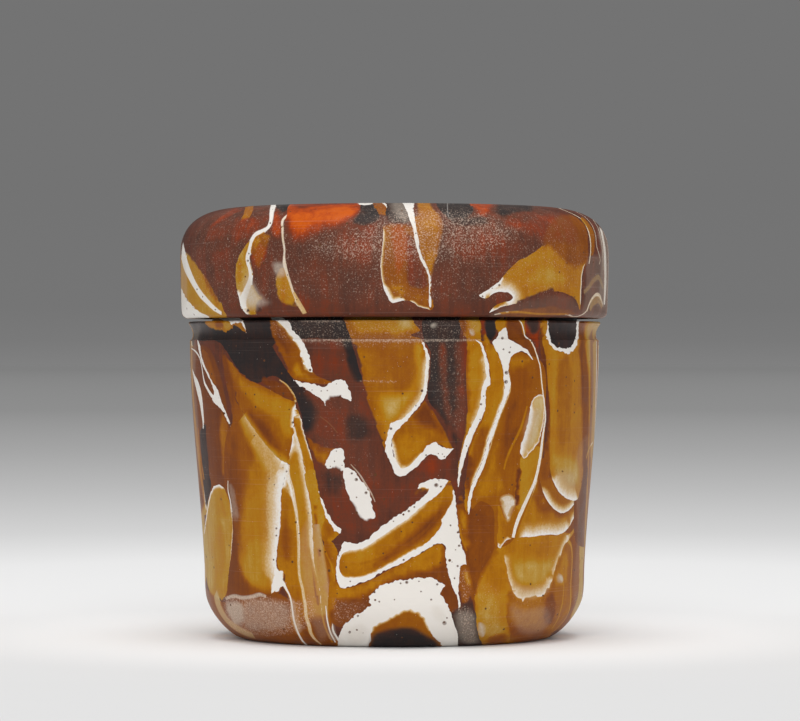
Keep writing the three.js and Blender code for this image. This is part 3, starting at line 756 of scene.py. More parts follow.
BODY_FRONT = [
    # Dark ground, upper left, and redder ground in the middle
    ground(0.85, [(-19.9, 31.3), (-16, 31.3), (-10.4, 31.3), (-5.2, 31.3), (-5.2, 29.4), (-8.5, 29.3),
        (-11.9, 28.6), (-11.2, 27.2), (-10.5, 26), (-9.9, 25.2), (-8.5, 24), (-7.4, 22.6), (-7.7, 20.4),
        (-8.6, 19.6), (-9.2, 22), (-9.8, 23.6), (-10.6, 24.8), (-12, 25.6), (-13.4, 24.9), (-15, 25.8),
        (-16.5, 28), (-17.4, 29), (-19.5, 29.2)], fade=[(10, 13, 0.8)]),
    ground(-0.1, [(-8.9, 29), (-5.4, 29.1), (-4.8, 27), (-4.5, 25.4), (-6, 25.2), (-8, 25.6), (-8.2, 27.4)],
        fade=[(0, 0, 0.7)]),
    ground(1, [(-6.4, 31.3), (-5, 31.3), (-4.6, 30.2), (-4.25, 29), (-3.9, 27.8), (-3.5, 26.4), (-3.2, 25),
        (-3.9, 24.9), (-4.6, 26.2), (-5, 28), (-5.6, 29.8)], fade=[(6, 0, 0.35)]),
    ground(-0.15, [(-7.4, 22.9), (-4.3, 23.1), (-2.9, 23.6), (-2, 20.6), (-1, 18), (-0.2, 16), (0.6, 15.4),
        (3.4, 17.6), (5.6, 17.8), (6.3, 14.6), (2.4, 14.4), (-1.4, 11), (-4.2, 9.4), (-5.8, 10.4), (-7, 15),
        (-7.6, 19.6)], fade=[(0, 0, 1.2)]),
    ground(0.5, [(-4.9, 22), (-2.7, 22), (-1.9, 20), (-2.4, 19.2), (-4.8, 19)], fade=[(0, 0, 0.9)]),
    ground(0.35, [(-7.3, 16.5), (-5, 16), (-4.7, 14.6), (-5.6, 13.4), (-6.8, 13.8)], fade=[(0, 0, 0.8)]),
    ground(-0.12, [(-4.4, 16.6), (-2.6, 14.6), (0.2, 13.6), (-0.6, 12), (-2, 12.2), (-2.6, 14)],
        fade=[(0, 0, 0.8)]),
    ground(-0.3, [(2.4, 17.4), (4.4, 17.7), (5.6, 17.4), (5.2, 16.2), (3.4, 15.9), (1.8, 16)],
        fade=[(0, 0, 0.5)]),

    # Far left
    amber(0.2, [(-20.6, 26), (-20.2, 24.5), (-19.6, 20.5), (-19, 15.5), (-18.6, 12.5), (-19.6, 12.5),
        (-20.8, 18)], fade=[(0, 0, 0.4)]),
    amber(0.3, [(-20, 20), (-19.2, 20.4), (-18.8, 14), (-18.5, 9), (-18.6, 5), (-19.4, 4), (-20, 12)],
        fade=[(0, 0, 0.3)]),
    amber(0.18, [(-20, 28.8), (-18.4, 28.8), (-17, 26), (-16, 20), (-16.4, 15), (-18.4, 12), (-19.4, 12),
        (-20.2, 22)], fade=[(0, 3, 0.8)]),
    # Painted reflection: a pale veil along the left edge, where the side turns away
    haze_and_reflection(0.22, [(-20.6, 30.9), (-19, 30.6), (-19.2, 28.8), (-19.5, 25), (-19.2, 21.5), (-18.9, 12),
        (-18.4, 6), (-20.4, 6), (-21.4, 26)], 1.2),
    Streak([(-20, 29.5), (-19.95, 26), (-19.85, 22.5), (-19.6, 18), (-19.1, 12)], (0.4, 1.2, 0.8, 0.2), 0.5,
        0.7, {"cover": 1, "rim": 1, "tone": 0.1}),
    ground(0.6, [(-19, 20.4), (-18.5, 20.8), (-18.3, 18), (-18.2, 16), (-18, 14.9), (-18.3, 13.4),
        (-18.5, 12.4), (-18.7, 14), (-18.9, 17)]),
    Streak([(-19.95, 29), (-19.9, 26), (-19.8, 23.4), (-19.6, 21), (-19.35, 18.6), (-19.15, 16.8),
        (-18.9, 15), (-18.6, 13), (-18.4, 12.2)], (0.6, 0.9, 1.2, 1.2, 1.0, 0.7, 0.4, 0.3), 0.5, 0.7,
        CREAM),
    Streak([(-19.3, 20.5), (-19.1, 18), (-18.7, 15.4)], (0.3, 0.5, 0.2), 0.2, 0.7,
        {"cover": 1, "rim": 1, "tone": 0.6}),
    Streak([(-19.85, 26.2), (-19.65, 25.4), (-19.4, 24.7), (-19.2, 24), (-19, 23), (-18.88, 22),
        (-18.78, 21), (-18.8, 20.4)], (0.1, 0.6, 1.1, 1.2, 0.9, 0.6, 0.36, 0.1), 0.1),
    amber(0.12, [(-18.8, 25.6), (-17.8, 24), (-17.4, 23), (-16.5, 21.4), (-16.1, 20.4), (-16.15, 18),
        (-16.4, 16), (-16.6, 15), (-17.5, 15.1), (-18.2, 16.6), (-18.6, 19), (-18.7, 22)],
        fade=[(6, 0, 0.9)]),
    tint(0.5, [(-16.9, 22.1), (-16.3, 21.2), (-16.15, 20), (-16.2, 18.2), (-16.5, 15.6), (-16.9, 15.6),
        (-17.1, 18), (-17.3, 20.6)], 0.5),
    amber(0.35, [(-18.9, 28.2), (-18.2, 27.6), (-17.85, 26.6), (-17.5, 25.4), (-17.25, 24.4), (-17.6, 24.6),
        (-18.2, 25.6), (-18.7, 26.8)], fade=[(1, 5, 0.35)]),
    Streak([(-19.95, 28.3), (-19.55, 28), (-19.2, 27.5), (-18.95, 26.6), (-18.8, 25.6), (-18.65, 24.9),
        (-18.3, 24.2), (-17.9, 23.6), (-17.4, 23.2)], (0.04, 0.14, 0.16, 0.12, 0.18, 0.28, 0.3, 0.35, 0.4),
        0.05),
    milk([(-19.35, 29.1), (-19.1, 28.6), (-19, 27.8), (-18.7, 26.8), (-18.3, 25.9), (-17.9, 25),
        (-17.45, 24.4), (-17.2, 23.7), (-16.95, 22.9), (-16.6, 22.1), (-16.25, 21.3), (-16.1, 20.6),
        (-16.35, 21), (-16.75, 21.9), (-17.3, 22.6), (-17.9, 23.2), (-17.75, 23.9), (-17.85, 24.5),
        (-18.2, 25.3), (-18.6, 26.1), (-18.95, 26.9), (-19.15, 27.8), (-19.3, 28.5)], ragged=0.03),

    # Amber of the rim, far left
    amber(0.6, [(-18.9, 31.4), (-15, 31.4), (-14.85, 30.8), (-14.55, 29.8), (-15.2, 30.3), (-15.7, 30.6),
        (-16.1, 30.1), (-16.8, 29.85), (-17.7, 30), (-18.5, 30.5)], fade=[(7, 10, 0.4)], ragged=0.06),
    tint(0.3, [(-17.6, 30.9), (-16.9, 31), (-16.7, 30.3), (-17.5, 30.2)], 0.3),
    milk([(-16.3, 31.45), (-15, 31.45), (-14.85, 30.9), (-14.55, 29.8), (-14.75, 30.3), (-15, 30.75),
        (-15.6, 30.75), (-16.1, 30.6), (-16.5, 30.9)], fade=[(7, 8, 0.2)], ragged=0.05),
    amber(0.8, [(-16.7, 31.2), (-16.2, 31.1), (-16, 30.6), (-16.2, 30.1), (-16.7, 30.1), (-16.9, 30.7)],
        fade=[(0, 0, 0.25)]),

    # Large amber flake on the left
    amber(0.3, [(-16.4, 20), (-14.6, 22), (-11.4, 16.4), (-11, 5), (-12, 3.8), (-16.6, 3.8), (-16.6, 12)],
        ragged=0.0),
    amber(0.22, [(-17.1, 28.6), (-16.4, 27.6), (-15.8, 26.7), (-15.3, 26), (-14.6, 25.5), (-15.6, 24.2),
        (-15.3, 22), (-14.4, 20.6), (-15.2, 19), (-15.6, 14), (-15.9, 13.4), (-16.2, 16), (-16, 20),
        (-16.2, 22.5), (-16.8, 25.5)], fade=[(12, 2, 0.5)]),
    amber(0.36, [(-15.95, 23.6), (-15.1, 22.4), (-14.3, 21.1), (-13.6, 20.1), (-12.9, 19.2), (-12, 18.15),
        (-11.2, 17.4), (-10.5, 16.95), (-10.5, 16.3), (-10.8, 15.5), (-11.05, 14.5), (-11.15, 13.4),
        (-11.1, 12.4), (-11.15, 11.3), (-11.3, 10), (-11.45, 9), (-11.55, 8), (-11.6, 7), (-11.3, 6.2),
        (-11.4, 5.2), (-11.9, 4.5), (-12.2, 4.1), (-12.8, 4.3), (-13.4, 4.9), (-14, 5.5), (-14.6, 6.6),
        (-15, 7.8), (-15.3, 9.5), (-15.3, 12), (-15.4, 14.5), (-15.6, 17), (-15.8, 19.5), (-16.1, 22)],
        white=[(7, 15, 0.3, 2.4), (5, 9, 0.1, 1.6), (13, 21, 0.2, 2.2), (1, 7, -0.7, 1.8)],
        fade=[(24, 0, 0.9)]),
    tint(0.62, [(-14.6, 16.6), (-13.6, 19.2), (-12.2, 17), (-12.2, 11), (-12, 7), (-12, 4), (-13.6, 4.2),
        (-15.3, 5.6), (-15.5, 11)], 1.1),
    tint(0.74, [(-14.6, 9.4), (-12.4, 9.8), (-12, 4.2), (-13.6, 4.6), (-14.9, 5.8)], 1.0),
    amber(0.44, [(-16.7, 28), (-16.2, 27.2), (-15.8, 26.6), (-15.3, 26), (-14.8, 25.5), (-14.2, 25.1),
        (-13.4, 24.8), (-12.6, 24.4), (-11.8, 24), (-11, 23.55), (-10.3, 23.25), (-9.8, 23.1), (-9.7, 22.6),
        (-9.9, 21.8), (-9.9, 21), (-9.85, 20.2), (-9.6, 19.2), (-9.3, 18.2), (-8.95, 17.2), (-8.75, 16.2),
        (-8.6, 15.1), (-9.6, 14.6), (-10.1, 14.6), (-10.4, 15.8), (-10.5, 16.95), (-11.2, 17.35),
        (-12, 18.1), (-12.9, 19.15), (-13.6, 20.1), (-14.3, 21.1), (-15.1, 22.4), (-15.7, 23.8),
        (-16.1, 25.2), (-16.4, 26.4)], white=[(11, 15, 0.08, 0.4)], fade=[(31, 1, 0.5)]),
    tint(0.66, [(-16, 26.6), (-15, 25.8), (-13.6, 25), (-12, 24.2), (-10.4, 23.5), (-10.2, 20.6),
        (-11.8, 21), (-13.4, 22), (-14.7, 23.2), (-15.5, 24.6)], 0.9),
    tint(0.74, [(-12.4, 23.6), (-10.1, 23.4), (-9.7, 21.6), (-9.8, 19), (-10.8, 19.4), (-11.8, 21.4)], 0.9),
    tint(0.14, [(-15, 22.6), (-13.6, 22.2), (-11.8, 20.4), (-10.9, 18.6), (-11.2, 17.3), (-12.6, 18.7),
        (-13.8, 20.3)], 1.0),
    # The pale sheen along its slanting edge
    Streak([(-14.9, 21.6), (-14.1, 20), (-13.3, 18.7), (-12.5, 17.6), (-11.6, 16.9), (-10.9, 16.2)],
        (0.4, 0.9, 1.2, 1.5, 1.4), 0.8, 0.7, {"tone": 0.96}),
    Streak([(-13.9, 19.4), (-13.1, 18.2), (-12.3, 17.2), (-11.4, 16.5)], (0.2, 0.5, 0.9), 1.0, 0.8,
        {"rim": 0.5}),
    # Pocket above it
    amber(0.14, [(-13.1, 25.7), (-12.2, 25.6), (-11.2, 25.1), (-10.5, 24.5), (-9.95, 23.8), (-9.7, 23.2),
        (-10.3, 23.3), (-11.3, 23.75), (-12.4, 24.3), (-13.2, 24.8)], fade=[(8, 2, 0.6)]),
    Streak([(-11.3, 25.2), (-10.7, 24.8), (-10.2, 24.2), (-9.85, 23.6), (-9.7, 23)],
        (0.04, 0.1, 0.14, 0.14), 0.08, 0.75, TAN),
    # Strip down its right side
    amber(0.62, [(-9.9, 22.5), (-9.5, 22.2), (-9.2, 21.4), (-9, 20.4), (-8.7, 19.3), (-8.3, 18),
        (-7.95, 16.8), (-7.7, 15.6), (-7.45, 14.4), (-7.2, 13.4), (-6.9, 12.5), (-6.4, 11.6), (-5.8, 10.8),
        (-5.4, 10.2), (-5.9, 9.6), (-6.8, 9.2), (-7.4, 10.5), (-8, 12.5), (-8.5, 14.5), (-8.8, 16.5),
        (-9.2, 18.4), (-9.75, 20.2), (-9.9, 21.4)], white=[(1, 6, 0.0, 0.25), (22, 1, 0.1, 0.3)]),
    tint(0.45, [(-6.8, 11.6), (-5.7, 10.4), (-6, 9.7), (-6.9, 9.4), (-7.3, 10.4)], 0.4),
    milk([(-7.5, 14.2), (-7.1, 13.4), (-6.8, 12.6), (-6.4, 11.8), (-5.9, 11), (-5.3, 10.5), (-5.4, 10.1),
        (-5.8, 10.3), (-6.3, 11), (-6.8, 11.8), (-7.2, 12.8), (-7.45, 13.6)], strength=0.9),

    # Bundle of upright bands below it
    amber(0.55, [(-10.5, 16.9), (-10.1, 15), (-9.8, 13), (-9.45, 10.5), (-9.4, 8), (-9.3, 6), (-8.9, 4),
        (-8.6, 2), (-8.2, 0.4), (-7.4, -0.8), (-9.4, -1.2), (-10.2, 1), (-10.4, 3.8), (-10.9, 5),
        (-10.7, 6), (-11.3, 6.5), (-11.55, 8), (-11.3, 10), (-11.15, 12), (-11.1, 14), (-10.8, 15.4)],
        white=[(19, 2, 0.12, 0.7)], fade=[(9, 11, 0.5)]),
    amber(0.66, [(-9.8, 20), (-9.2, 18.2), (-8.8, 16.2), (-8.4, 13.8), (-8.1, 11.5), (-8, 9), (-7.8, 6.6),
        (-7.4, 5), (-7.2, 3), (-7, 1.2), (-6.4, -0.9), (-7.6, -1.1), (-8.2, 0.3), (-8.65, 2), (-8.95, 4),
        (-9.3, 6), (-9.4, 8), (-9.45, 10.5), (-9.75, 12.8), (-10.1, 14.6), (-10.4, 16.2), (-10.2, 18.4)],
        white=[(20, 6, 0.0, 0.8)]),
    amber(0.74, [(-8.8, 16), (-7.9, 16.4), (-7.6, 15), (-7.2, 13.2), (-6.8, 12), (-7.2, 10.4), (-6.9, 8.4),
        (-6.5, 6), (-6.3, 3.6), (-6.4, 1.6), (-6.1, 0.2), (-5.2, -0.95), (-6.5, -1.1), (-7, 0.8), (-7.2, 3),
        (-7.4, 5), (-7.8, 6.6), (-8, 9), (-8.1, 11.5), (-8.4, 13.8)]),
    amber(0.6, [(-6.9, 9.2), (-6.3, 9.4), (-5.6, 8.2), (-5.75, 7), (-5.75, 5.2), (-5.6, 4.6), (-6, 3.4),
        (-6.3, 3.4), (-6.5, 5.5), (-6.8, 7.4)]),
    tint(0.3, [(-8.6, 14.4), (-8.4, 14.4), (-8.1, 9), (-7.7, 6), (-7.4, 3), (-7.6, 3), (-8.1, 6.4),
        (-8.4, 9.4)], 0.12),
    tint(0.4, [(-7.9, 14), (-7.5, 13.4), (-7.5, 10), (-7.1, 7.4), (-7.3, 7.2), (-7.8, 9.6)], 0.16),
    tint(0.36, [(-11, 12), (-10.4, 11.6), (-10.2, 9), (-10.3, 7.2), (-10.9, 7.4), (-11.3, 9.4)], 0.5),
    Streak([(-7.7, 11), (-7.5, 8.6), (-7.2, 6.4), (-6.9, 4.4), (-6.7, 2.6), (-6.4, 0.8), (-5.9, -0.4)],
        (0.3, 0.7, 0.8, 0.9, 0.8, 0.4), 0.3, 0.7, {"haze_and_reflection": 0.55}),
    Streak([(-8.3, 10.5), (-8.1, 8), (-7.8, 6), (-7.5, 4)], (0.14, 0.2, 0.2), 0.12, 0.6, CREAM),
    haze_and_reflection(0.15, [(-9.4, 10), (-8.4, 12), (-7.6, 11), (-6.8, 8), (-6.2, 4), (-6, 0.6), (-7.2, -0.8),
        (-8.2, 1), (-9, 4), (-9.4, 7)], 0.6),
    tint(0.4, [(-7.2, 10), (-6.4, 9.4), (-6, 6), (-6.2, 3), (-6.6, 4), (-6.8, 7)], 0.3),
    tint(0.24, [(-9.6, 1.6), (-8.4, 2.2), (-6.6, 2.4), (-5.6, 1), (-5.2, -1.2), (-8.8, -1.2)], 1.0),
    haze_and_reflection(0.4, [(-10.6, 3.8), (-9.9, 3.8), (-9.4, 1.8), (-8.9, 0.6), (-9.6, 0.2), (-10.3, 1.8)], 0.4),
    Streak([(-10.55, 16.9), (-10.5, 15.9), (-10.1, 14.6), (-9.9, 13.5), (-9.7, 12.5), (-9.55, 11.2),
        (-9.45, 9.8), (-9.4, 8.2), (-9.4, 7), (-9.3, 5.8), (-9.05, 4.8), (-8.9, 3.9), (-8.75, 2.9),
        (-8.65, 1.9), (-8.4, 1.1), (-8.2, 0.3), (-7.8, -0.3), (-7.2, -0.8)], (0.5, 0.4, 0.32, 0.28, 0.26,
        0.24, 0.24, 0.26, 0.3, 0.34, 0.3, 0.16), 0.14, 0.9, PALE),
    Streak([(-9.85, 20.6), (-9.55, 19.3), (-9.2, 18.1), (-8.95, 17.1), (-8.75, 16), (-8.6, 14.9),
        (-8.4, 13.6), (-8.25, 12.4), (-8.15, 11), (-8.05, 9.5), (-8, 8), (-7.75, 6.6), (-7.45, 5.3),
        (-7.25, 4), (-7.15, 2.6), (-6.95, 1.4), (-6.6, 0.4), (-6.1, -0.6)], (0.3, 0.22, 0.16, 0.12, 0.1,
        0.1, 0.08, 0.1, 0.08), 0.1, 0.7, CREAM),
    Streak([(-7.25, 9.8), (-6.95, 8.7), (-6.5, 7.7), (-6.2, 7), (-6.05, 6.2)], (0.05, 0.1, 0.1, 0.05), 0.08,
        0.6, TAN),
    Streak([(-6.75, 3), (-6.6, 1.6), (-6.3, 0.4), (-5.8, -0.6)], (0.05, 0.12, 0.1), 0.06, 0.8),
    Streak([(-6.15, 1.4), (-6, 0.5), (-5.6, -0.2), (-5.2, -0.9)], (0.08, 0.16, 0.18), 0.06, 0.95),
    Streak([(-10.9, 5.2), (-10.6, 4.6), (-10.3, 4), (-10.1, 3.2), (-10, 2.4), (-9.85, 1.5), (-9.6, 0.7),
        (-9.3, 0), (-8.9, -0.6), (-8.4, -1)], (0.3, 0.12, 0.12, 0.14, 0.16, 0.2, 0.16), 0.07, 0.9),
    Streak([(-12.8, -0.35), (-12.1, -0.45), (-11.4, -0.75), (-10.6, -1.15)], (0.08, 0.16, 0.1), 0.08, 0.8),
    milk([(-11.65, 7.2), (-11.4, 6.6), (-10.9, 6.9), (-10.6, 6.5), (-10.75, 5.9), (-10.65, 5.3),
        (-10.9, 4.9), (-11.4, 4.6), (-11.75, 4.2), (-12.2, 4.1), (-12.1, 4.9), (-11.8, 5.8)],
        fade=[(8, 11, 0.3), (0, 5, 0.35)], ragged=0.06, strength=0.9),

    # Upright blade of ochre at the far left
    amber(0.74, [(-17.2, 14.9), (-17.75, 14.7), (-18.15, 13.8), (-18.4, 12.5), (-18.6, 11), (-18.75, 9.5),
        (-18.7, 8), (-18.5, 6), (-18.3, 4.6), (-17.8, 3.8), (-17.1, 3.5), (-16.6, 4), (-16.35, 5.5),
        (-16.15, 7), (-16, 8.5), (-15.9, 10), (-15.9, 11.5), (-16.1, 12.8), (-16.4, 13.8), (-16.8, 14.6)],
        white=[(18, 5, 0.12, 0.35), (12, 18, -0.05, 0.3)], fade=[(5, 10, 0.5)]),
    tint(0.84, [(-18.9, 13), (-17.8, 14.2), (-17.6, 9), (-17.8, 4.4), (-18.9, 4)], 0.8),
    tint(0.84, [(-16.9, 12), (-15.9, 12), (-16, 8), (-16.5, 4.6), (-17, 4.6), (-16.7, 8.4)], 0.6),
    amber(0.2, [(-16.3, 15.2), (-15.7, 14.6), (-15.4, 12), (-15.2, 9), (-15, 7), (-14.2, 5.4), (-12.8, 4.2),
        (-13.5, 3.2), (-16.2, 3.4), (-16.35, 5.4), (-16, 8.5), (-15.9, 11.5), (-16.2, 13.4)],
        fade=[(1, 6, 0.8)]),
    haze_and_reflection(0.3, [(-16.3, 15.2), (-15.8, 14.6), (-15.4, 13), (-15.3, 11.5), (-15.9, 11.5), (-16.2, 13.4)],
        0.3),
    Streak([(-16.35, 15.3), (-16.35, 14.4), (-16.15, 13.4), (-15.95, 12.2)], (0.06, 0.12, 0.1), 0.08, 0.7),
    # Weathered foot, left
    amber(0.3, [(-18.6, 4.8), (-17, 3.6), (-14.5, 3.6), (-12.4, 4), (-11.6, 4.4), (-10.4, 3.8),
        (-10.2, 1.6), (-9.6, 0.2), (-9, -1.2), (-14, -1), (-16.6, -0.2), (-18.2, 2.2)], fade=[(0, 5, 0.4)]),
    Streak([(-17.6, 4.2), (-17.2, 2.8), (-16.4, 1.5), (-15.2, 0.6), (-13.8, 0)], (0.8, 1.3, 1.3, 0.7), 0.5,
        0.8, {"cover": 1, "rim": 1, "tone": 0.9, "haze_and_reflection": 0.45}),
    haze_and_reflection(0.7, [(-16.6, 3.4), (-15.4, 3.6), (-14.6, 2.8), (-14.6, 1.4), (-15.4, 1), (-16.2, 1.8)], 0.5),
    haze_and_reflection(0.3, [(-14.8, 3.6), (-10.4, 3.2), (-10.2, 1), (-12.6, 0.4), (-14.6, 0.8)], 0.6),
    frost_and_sheen(1.0, [(-16.8, 4.2), (-14.4, 4.1), (-12.6, 4.2), (-10.2, 3.8), (-8, 4), (-7.6, 1.6), (-9.6, 0.2),
        (-13, -0.2), (-15.8, 0.6), (-16.8, 2.2)], 0.5),
    Streak([(-16.6, 3.7), (-15.8, 3.95), (-14.9, 3.8), (-14, 3.9), (-13.2, 4.1), (-12.6, 3.9)],
        (0.1, 0.24, 0.2, 0.24, 0.1), 0.14, 0.8, {"haze_and_reflection": 0.8, "frost_and_sheen": 1.4}),

    # Gold wedge at the middle of the rim
    amber(0.46, [(-4.9, 31.4), (1.6, 31.4), (2, 30.7), (2.5, 30.05), (1.6, 29.6), (2.6, 29.2), (3, 28.5),
        (3.3, 27.9), (3.4, 27.2), (3.3, 25.6), (3.15, 24.2), (2.9, 23.4), (2.4, 22.7), (1.8, 21.9),
        (1.2, 21.2), (0.6, 20.6), (0.1, 20.1), (-0.4, 19.2), (-0.75, 18.2), (-0.95, 18.4), (-1.3, 19.2),
        (-1.75, 20.2), (-2.2, 21.3), (-2.65, 22.6), (-3, 24), (-3.25, 25.2), (-3.45, 26.3), (-3.65, 27.4),
        (-3.95, 28.6), (-4.25, 29.3), (-4.5, 29.9), (-4.75, 30.6)], white=[(6, 18, -0.05, 1.1)],
        fade=[(20, 28, 0.3)], ragged=0.02),
    tint(0.56, [(-3.8, 28.8), (-2.6, 28.4), (-2, 24.6), (-1.2, 21.6), (-0.9, 19), (-1.8, 20.6),
        (-2.9, 24.4)], 0.7),
    tint(0.7, [(-4.4, 31.4), (0.5, 31.4), (1.4, 30.6), (1, 29.6), (-1, 29.6), (-3.9, 29.8)], 0.5),
    tint(0.86, [(0.2, 31.4), (1.8, 31.4), (2.4, 30.1), (1.2, 29.8), (0.2, 30.2)], 0.6),
    tint(0.84, [(-1.9, 24), (0.6, 24.6), (2.6, 26.6), (3.2, 25), (1.7, 22), (0.3, 20.6), (-0.7, 18.8),
        (-1.7, 20.8)], 1.4),
    tint(0.76, [(1.8, 29), (3, 28.8), (3.2, 26.4), (3, 24.6), (2.2, 24.6), (1.8, 26.4)], 0.7),
    frost_and_sheen(0.3, [(-3.6, 31.4), (2, 31.4), (2.8, 28.6), (3, 25), (1.6, 24), (-2.2, 24), (-3.2, 27)], 1.2),
    # Lobe under it
    amber(0.5, [(-0.1, 19.9), (0.6, 20.7), (1.3, 21.3), (2, 22), (2.6, 22.7), (3.1, 23.2), (3.9, 22.2),
        (4.5, 21.2), (5, 20.4), (5.5, 19.3), (5.85, 18.5), (5.3, 18.4), (4.7, 18.7), (4, 19), (3.4, 18.6),
        (2.6, 17.6), (1.8, 16.8), (1.1, 16.4), (0.6, 16.4), (0.2, 17), (-0.1, 18), (-0.25, 19)],
        white=[(14, 0, 0.0, 0.5)], fade=[(5, 10, 0.35)]),
    tint(0.14, [(1.6, 21.6), (3.1, 23.1), (4.4, 21.4), (5.4, 19.5), (4.7, 19.5), (3.6, 20.2), (2.6, 20.4)],
        0.7),
    tint(0.64, [(0.2, 19.6), (1.4, 20.2), (3.4, 19.6), (3, 18.2), (1.2, 16.9), (0.5, 17.2)], 0.7),
    milk([(2.75, 29), (3.1, 28.4), (3.38, 27.8), (3.42, 27.2), (3.3, 26.6), (3.3, 25.8), (3.15, 25.2),
        (3.2, 24.6), (3, 23.6), (2.5, 22.8), (2, 22.1), (1.4, 21.4), (0.7, 20.7), (0.1, 20.1), (-0.2, 19.4),
        (-0.25, 18.6), (0, 17.6), (0.4, 16.8), (0.8, 16.5), (1.5, 16.8), (2.2, 17.5), (2.8, 18.2),
        (3.3, 18.8), (3.9, 19.05), (4.6, 18.7), (5.1, 18.45), (5.8, 18.45), (5.4, 18), (5, 17.5),
        (4.6, 17.35), (4.1, 17.75), (3.6, 17.9), (3.1, 17.6), (2.5, 17), (1.8, 16.35), (1.1, 15.9),
        (0.5, 15.7), (0.05, 16), (-0.3, 16.9), (-0.8, 18), (-0.9, 18.8), (-0.7, 19.7), (-0.6, 20.4),
        (-0.2, 21), (0.6, 21.3), (1.3, 21.9), (1.9, 22.6), (2.4, 23.2), (2.75, 24), (2.9, 25), (3, 26.2),
        (3.05, 27.2), (2.9, 28.1)], fade=[(44, 52, 0.15)], ragged=0.04),
    # Brown-red ground right of the wedge
    ground(0.8, [(2.9, 31.3), (6.3, 31.3), (6.4, 29), (6.6, 25), (6.8, 22), (6.6, 19.4), (5.9, 18.7),
        (5.2, 20.4), (4.2, 22), (3.3, 23.3), (3.5, 26), (3.5, 28), (2.9, 29.2)], fade=[(4, 7, 0.5)]),
    ground(-0.2, [(4.3, 29), (5.1, 29), (5.5, 25), (5.7, 20), (5, 20.6), (4.6, 22.2), (4.3, 25)],
        fade=[(0, 0, 0.6)]),
    ground(-0.1, [(5.9, 29.2), (7.1, 29), (7.2, 24), (7, 19.4), (6.2, 18.4), (5.6, 20), (5.8, 25)],
        fade=[(0, 0, 0.5)]),
    ground(0.05, [(3.4, 23.2), (4.2, 22.6), (5.2, 21), (5.8, 19), (5.4, 18.8), (4.4, 21)],
        fade=[(0, 0, 0.4)]),
    haze_and_reflection(0.9, [(3.5, 30.7), (4.1, 30.9), (4.3, 30.5), (3.9, 30.2), (3.5, 30.3)], 0.2),

    # Orange flake left of the middle and the white curls by it
    amber(0.3, [(-8.5, 19.6), (-7.8, 19.2), (-7, 18.9), (-6, 18.6), (-5.3, 18.4), (-5.2, 17.6),
        (-6.7, 16.6), (-7.3, 16.8), (-7.8, 17.1), (-8.2, 18.2)], fade=[(0, 4, 0.25), (6, 9, 0.4)]),
    tint(0.6, [(-8.3, 18.7), (-7.2, 18.3), (-6.3, 17.9), (-6.8, 17), (-7.7, 17.4)], 0.4),
    milk([(-9.9, 25.2), (-9, 24.95), (-8.3, 24.9), (-7.6, 24.7), (-6.9, 24.6), (-6.3, 24.9), (-5.8, 25.2),
        (-5, 25.2), (-4.6, 24.8), (-4.4, 24), (-4.2, 23.15), (-4.7, 23.35), (-5.3, 23.5), (-6, 23.2),
        (-6.5, 23.1), (-6.7, 22.7), (-7, 23.1), (-7.6, 23.6), (-8.4, 24.1), (-9.3, 24.6)],
        fade=[(12, 15, 0.15)]),
    milk([(-6.7, 17.1), (-6.5, 17.5), (-6.2, 18.1), (-5.9, 18.4), (-5.3, 18.45), (-4.95, 18.2),
        (-4.9, 17.6), (-5, 16.9), (-5.05, 16.2), (-5.8, 16.3), (-6.6, 16.35), (-6.85, 16.7)],
        fade=[(8, 11, 0.2)]),
    milk([(-5.05, 16.5), (-4.4, 16.5), (-3.9, 16.2), (-3.5, 15.5), (-3, 15), (-2.6, 14.3), (-2.35, 13.5),
        (-2.2, 12.8), (-1.95, 11.7), (-2.3, 11.3), (-2.7, 11), (-3.3, 11.4), (-3.9, 12.1), (-4.3, 13.2),
        (-4.7, 14.4), (-5, 15.4)], fade=[(9, 13, 0.5)]),
    Streak([(-4.3, 16.9), (-3.5, 16), (-2.8, 14.9), (-2.2, 13.9), (-1.9, 13.2)], (0.04, 0.12, 0.12, 0.04),
        0.08, 0.5, CREAM),
    Streak([(-7.3, 21.6), (-6.4, 20.9), (-5.6, 20)], (0.04, 0.06, 0.04), 0.2, 0.35, TAN),

    # Broad loop of white and the flake that it holds
    milk([(5.3, 15.3), (4.6, 15.45), (3.8, 15.5), (3.2, 15.25), (2.5, 14.95), (2.3, 14.5), (3, 14.5),
        (3.35, 14.35), (3, 13.9), (2.2, 13.2), (1.4, 12.6), (0.5, 12), (-0.4, 11.4), (-1.2, 10.8),
        (-2, 10.1), (-2.7, 9.5), (-3.4, 9.15), (-4.2, 9.15), (-5, 9.2), (-5.3, 8.4), (-5.6, 7.6),
        (-5.7, 6.4), (-5.65, 5.3), (-5.4, 4.8), (-4.8, 4.75), (-3.8, 5.1), (-2.6, 5.5), (-1.4, 6.2),
        (-0.2, 6.8), (0.8, 7.2), (1.8, 7.8), (2.8, 8.3), (3.6, 8.8), (4.2, 9.1), (4.9, 9), (5, 8),
        (5.1, 7.2), (5.25, 6.4), (5.5, 5.4), (5.8, 4.6), (6.2, 3.8), (6.3, 2.6), (6.5, 2.4), (6.45, 3.4),
        (6.3, 4.2), (6.35, 5.2), (6.4, 6.2), (6.55, 7), (6.8, 7), (7, 6.2), (7.3, 6.6), (7.2, 7.4),
        (6.8, 8.4), (6.5, 9.3), (6.35, 10.2), (6.25, 11.2), (6.1, 12.2), (6, 13.2), (5.9, 14.2)],
        ragged=0.04),
    amber(0.5, [(1.8, 14.6), (2.5, 15), (3.25, 14.9), (3.35, 14.4), (2.9, 13.9), (2.2, 13.3), (1.6, 13.6)],
        fade=[(4, 2, 0.9)], ragged=0.02),
    amber(0.58, [(-5.35, 7.6), (-5.15, 8.1), (-4.6, 8.4), (-3.9, 8.5), (-3.1, 8.65), (-2.4, 9.05),
        (-1.6, 9.6), (-0.8, 10.15), (0.1, 10.8), (1, 11.35), (1.8, 12), (2.6, 12.75), (3.4, 13.3),
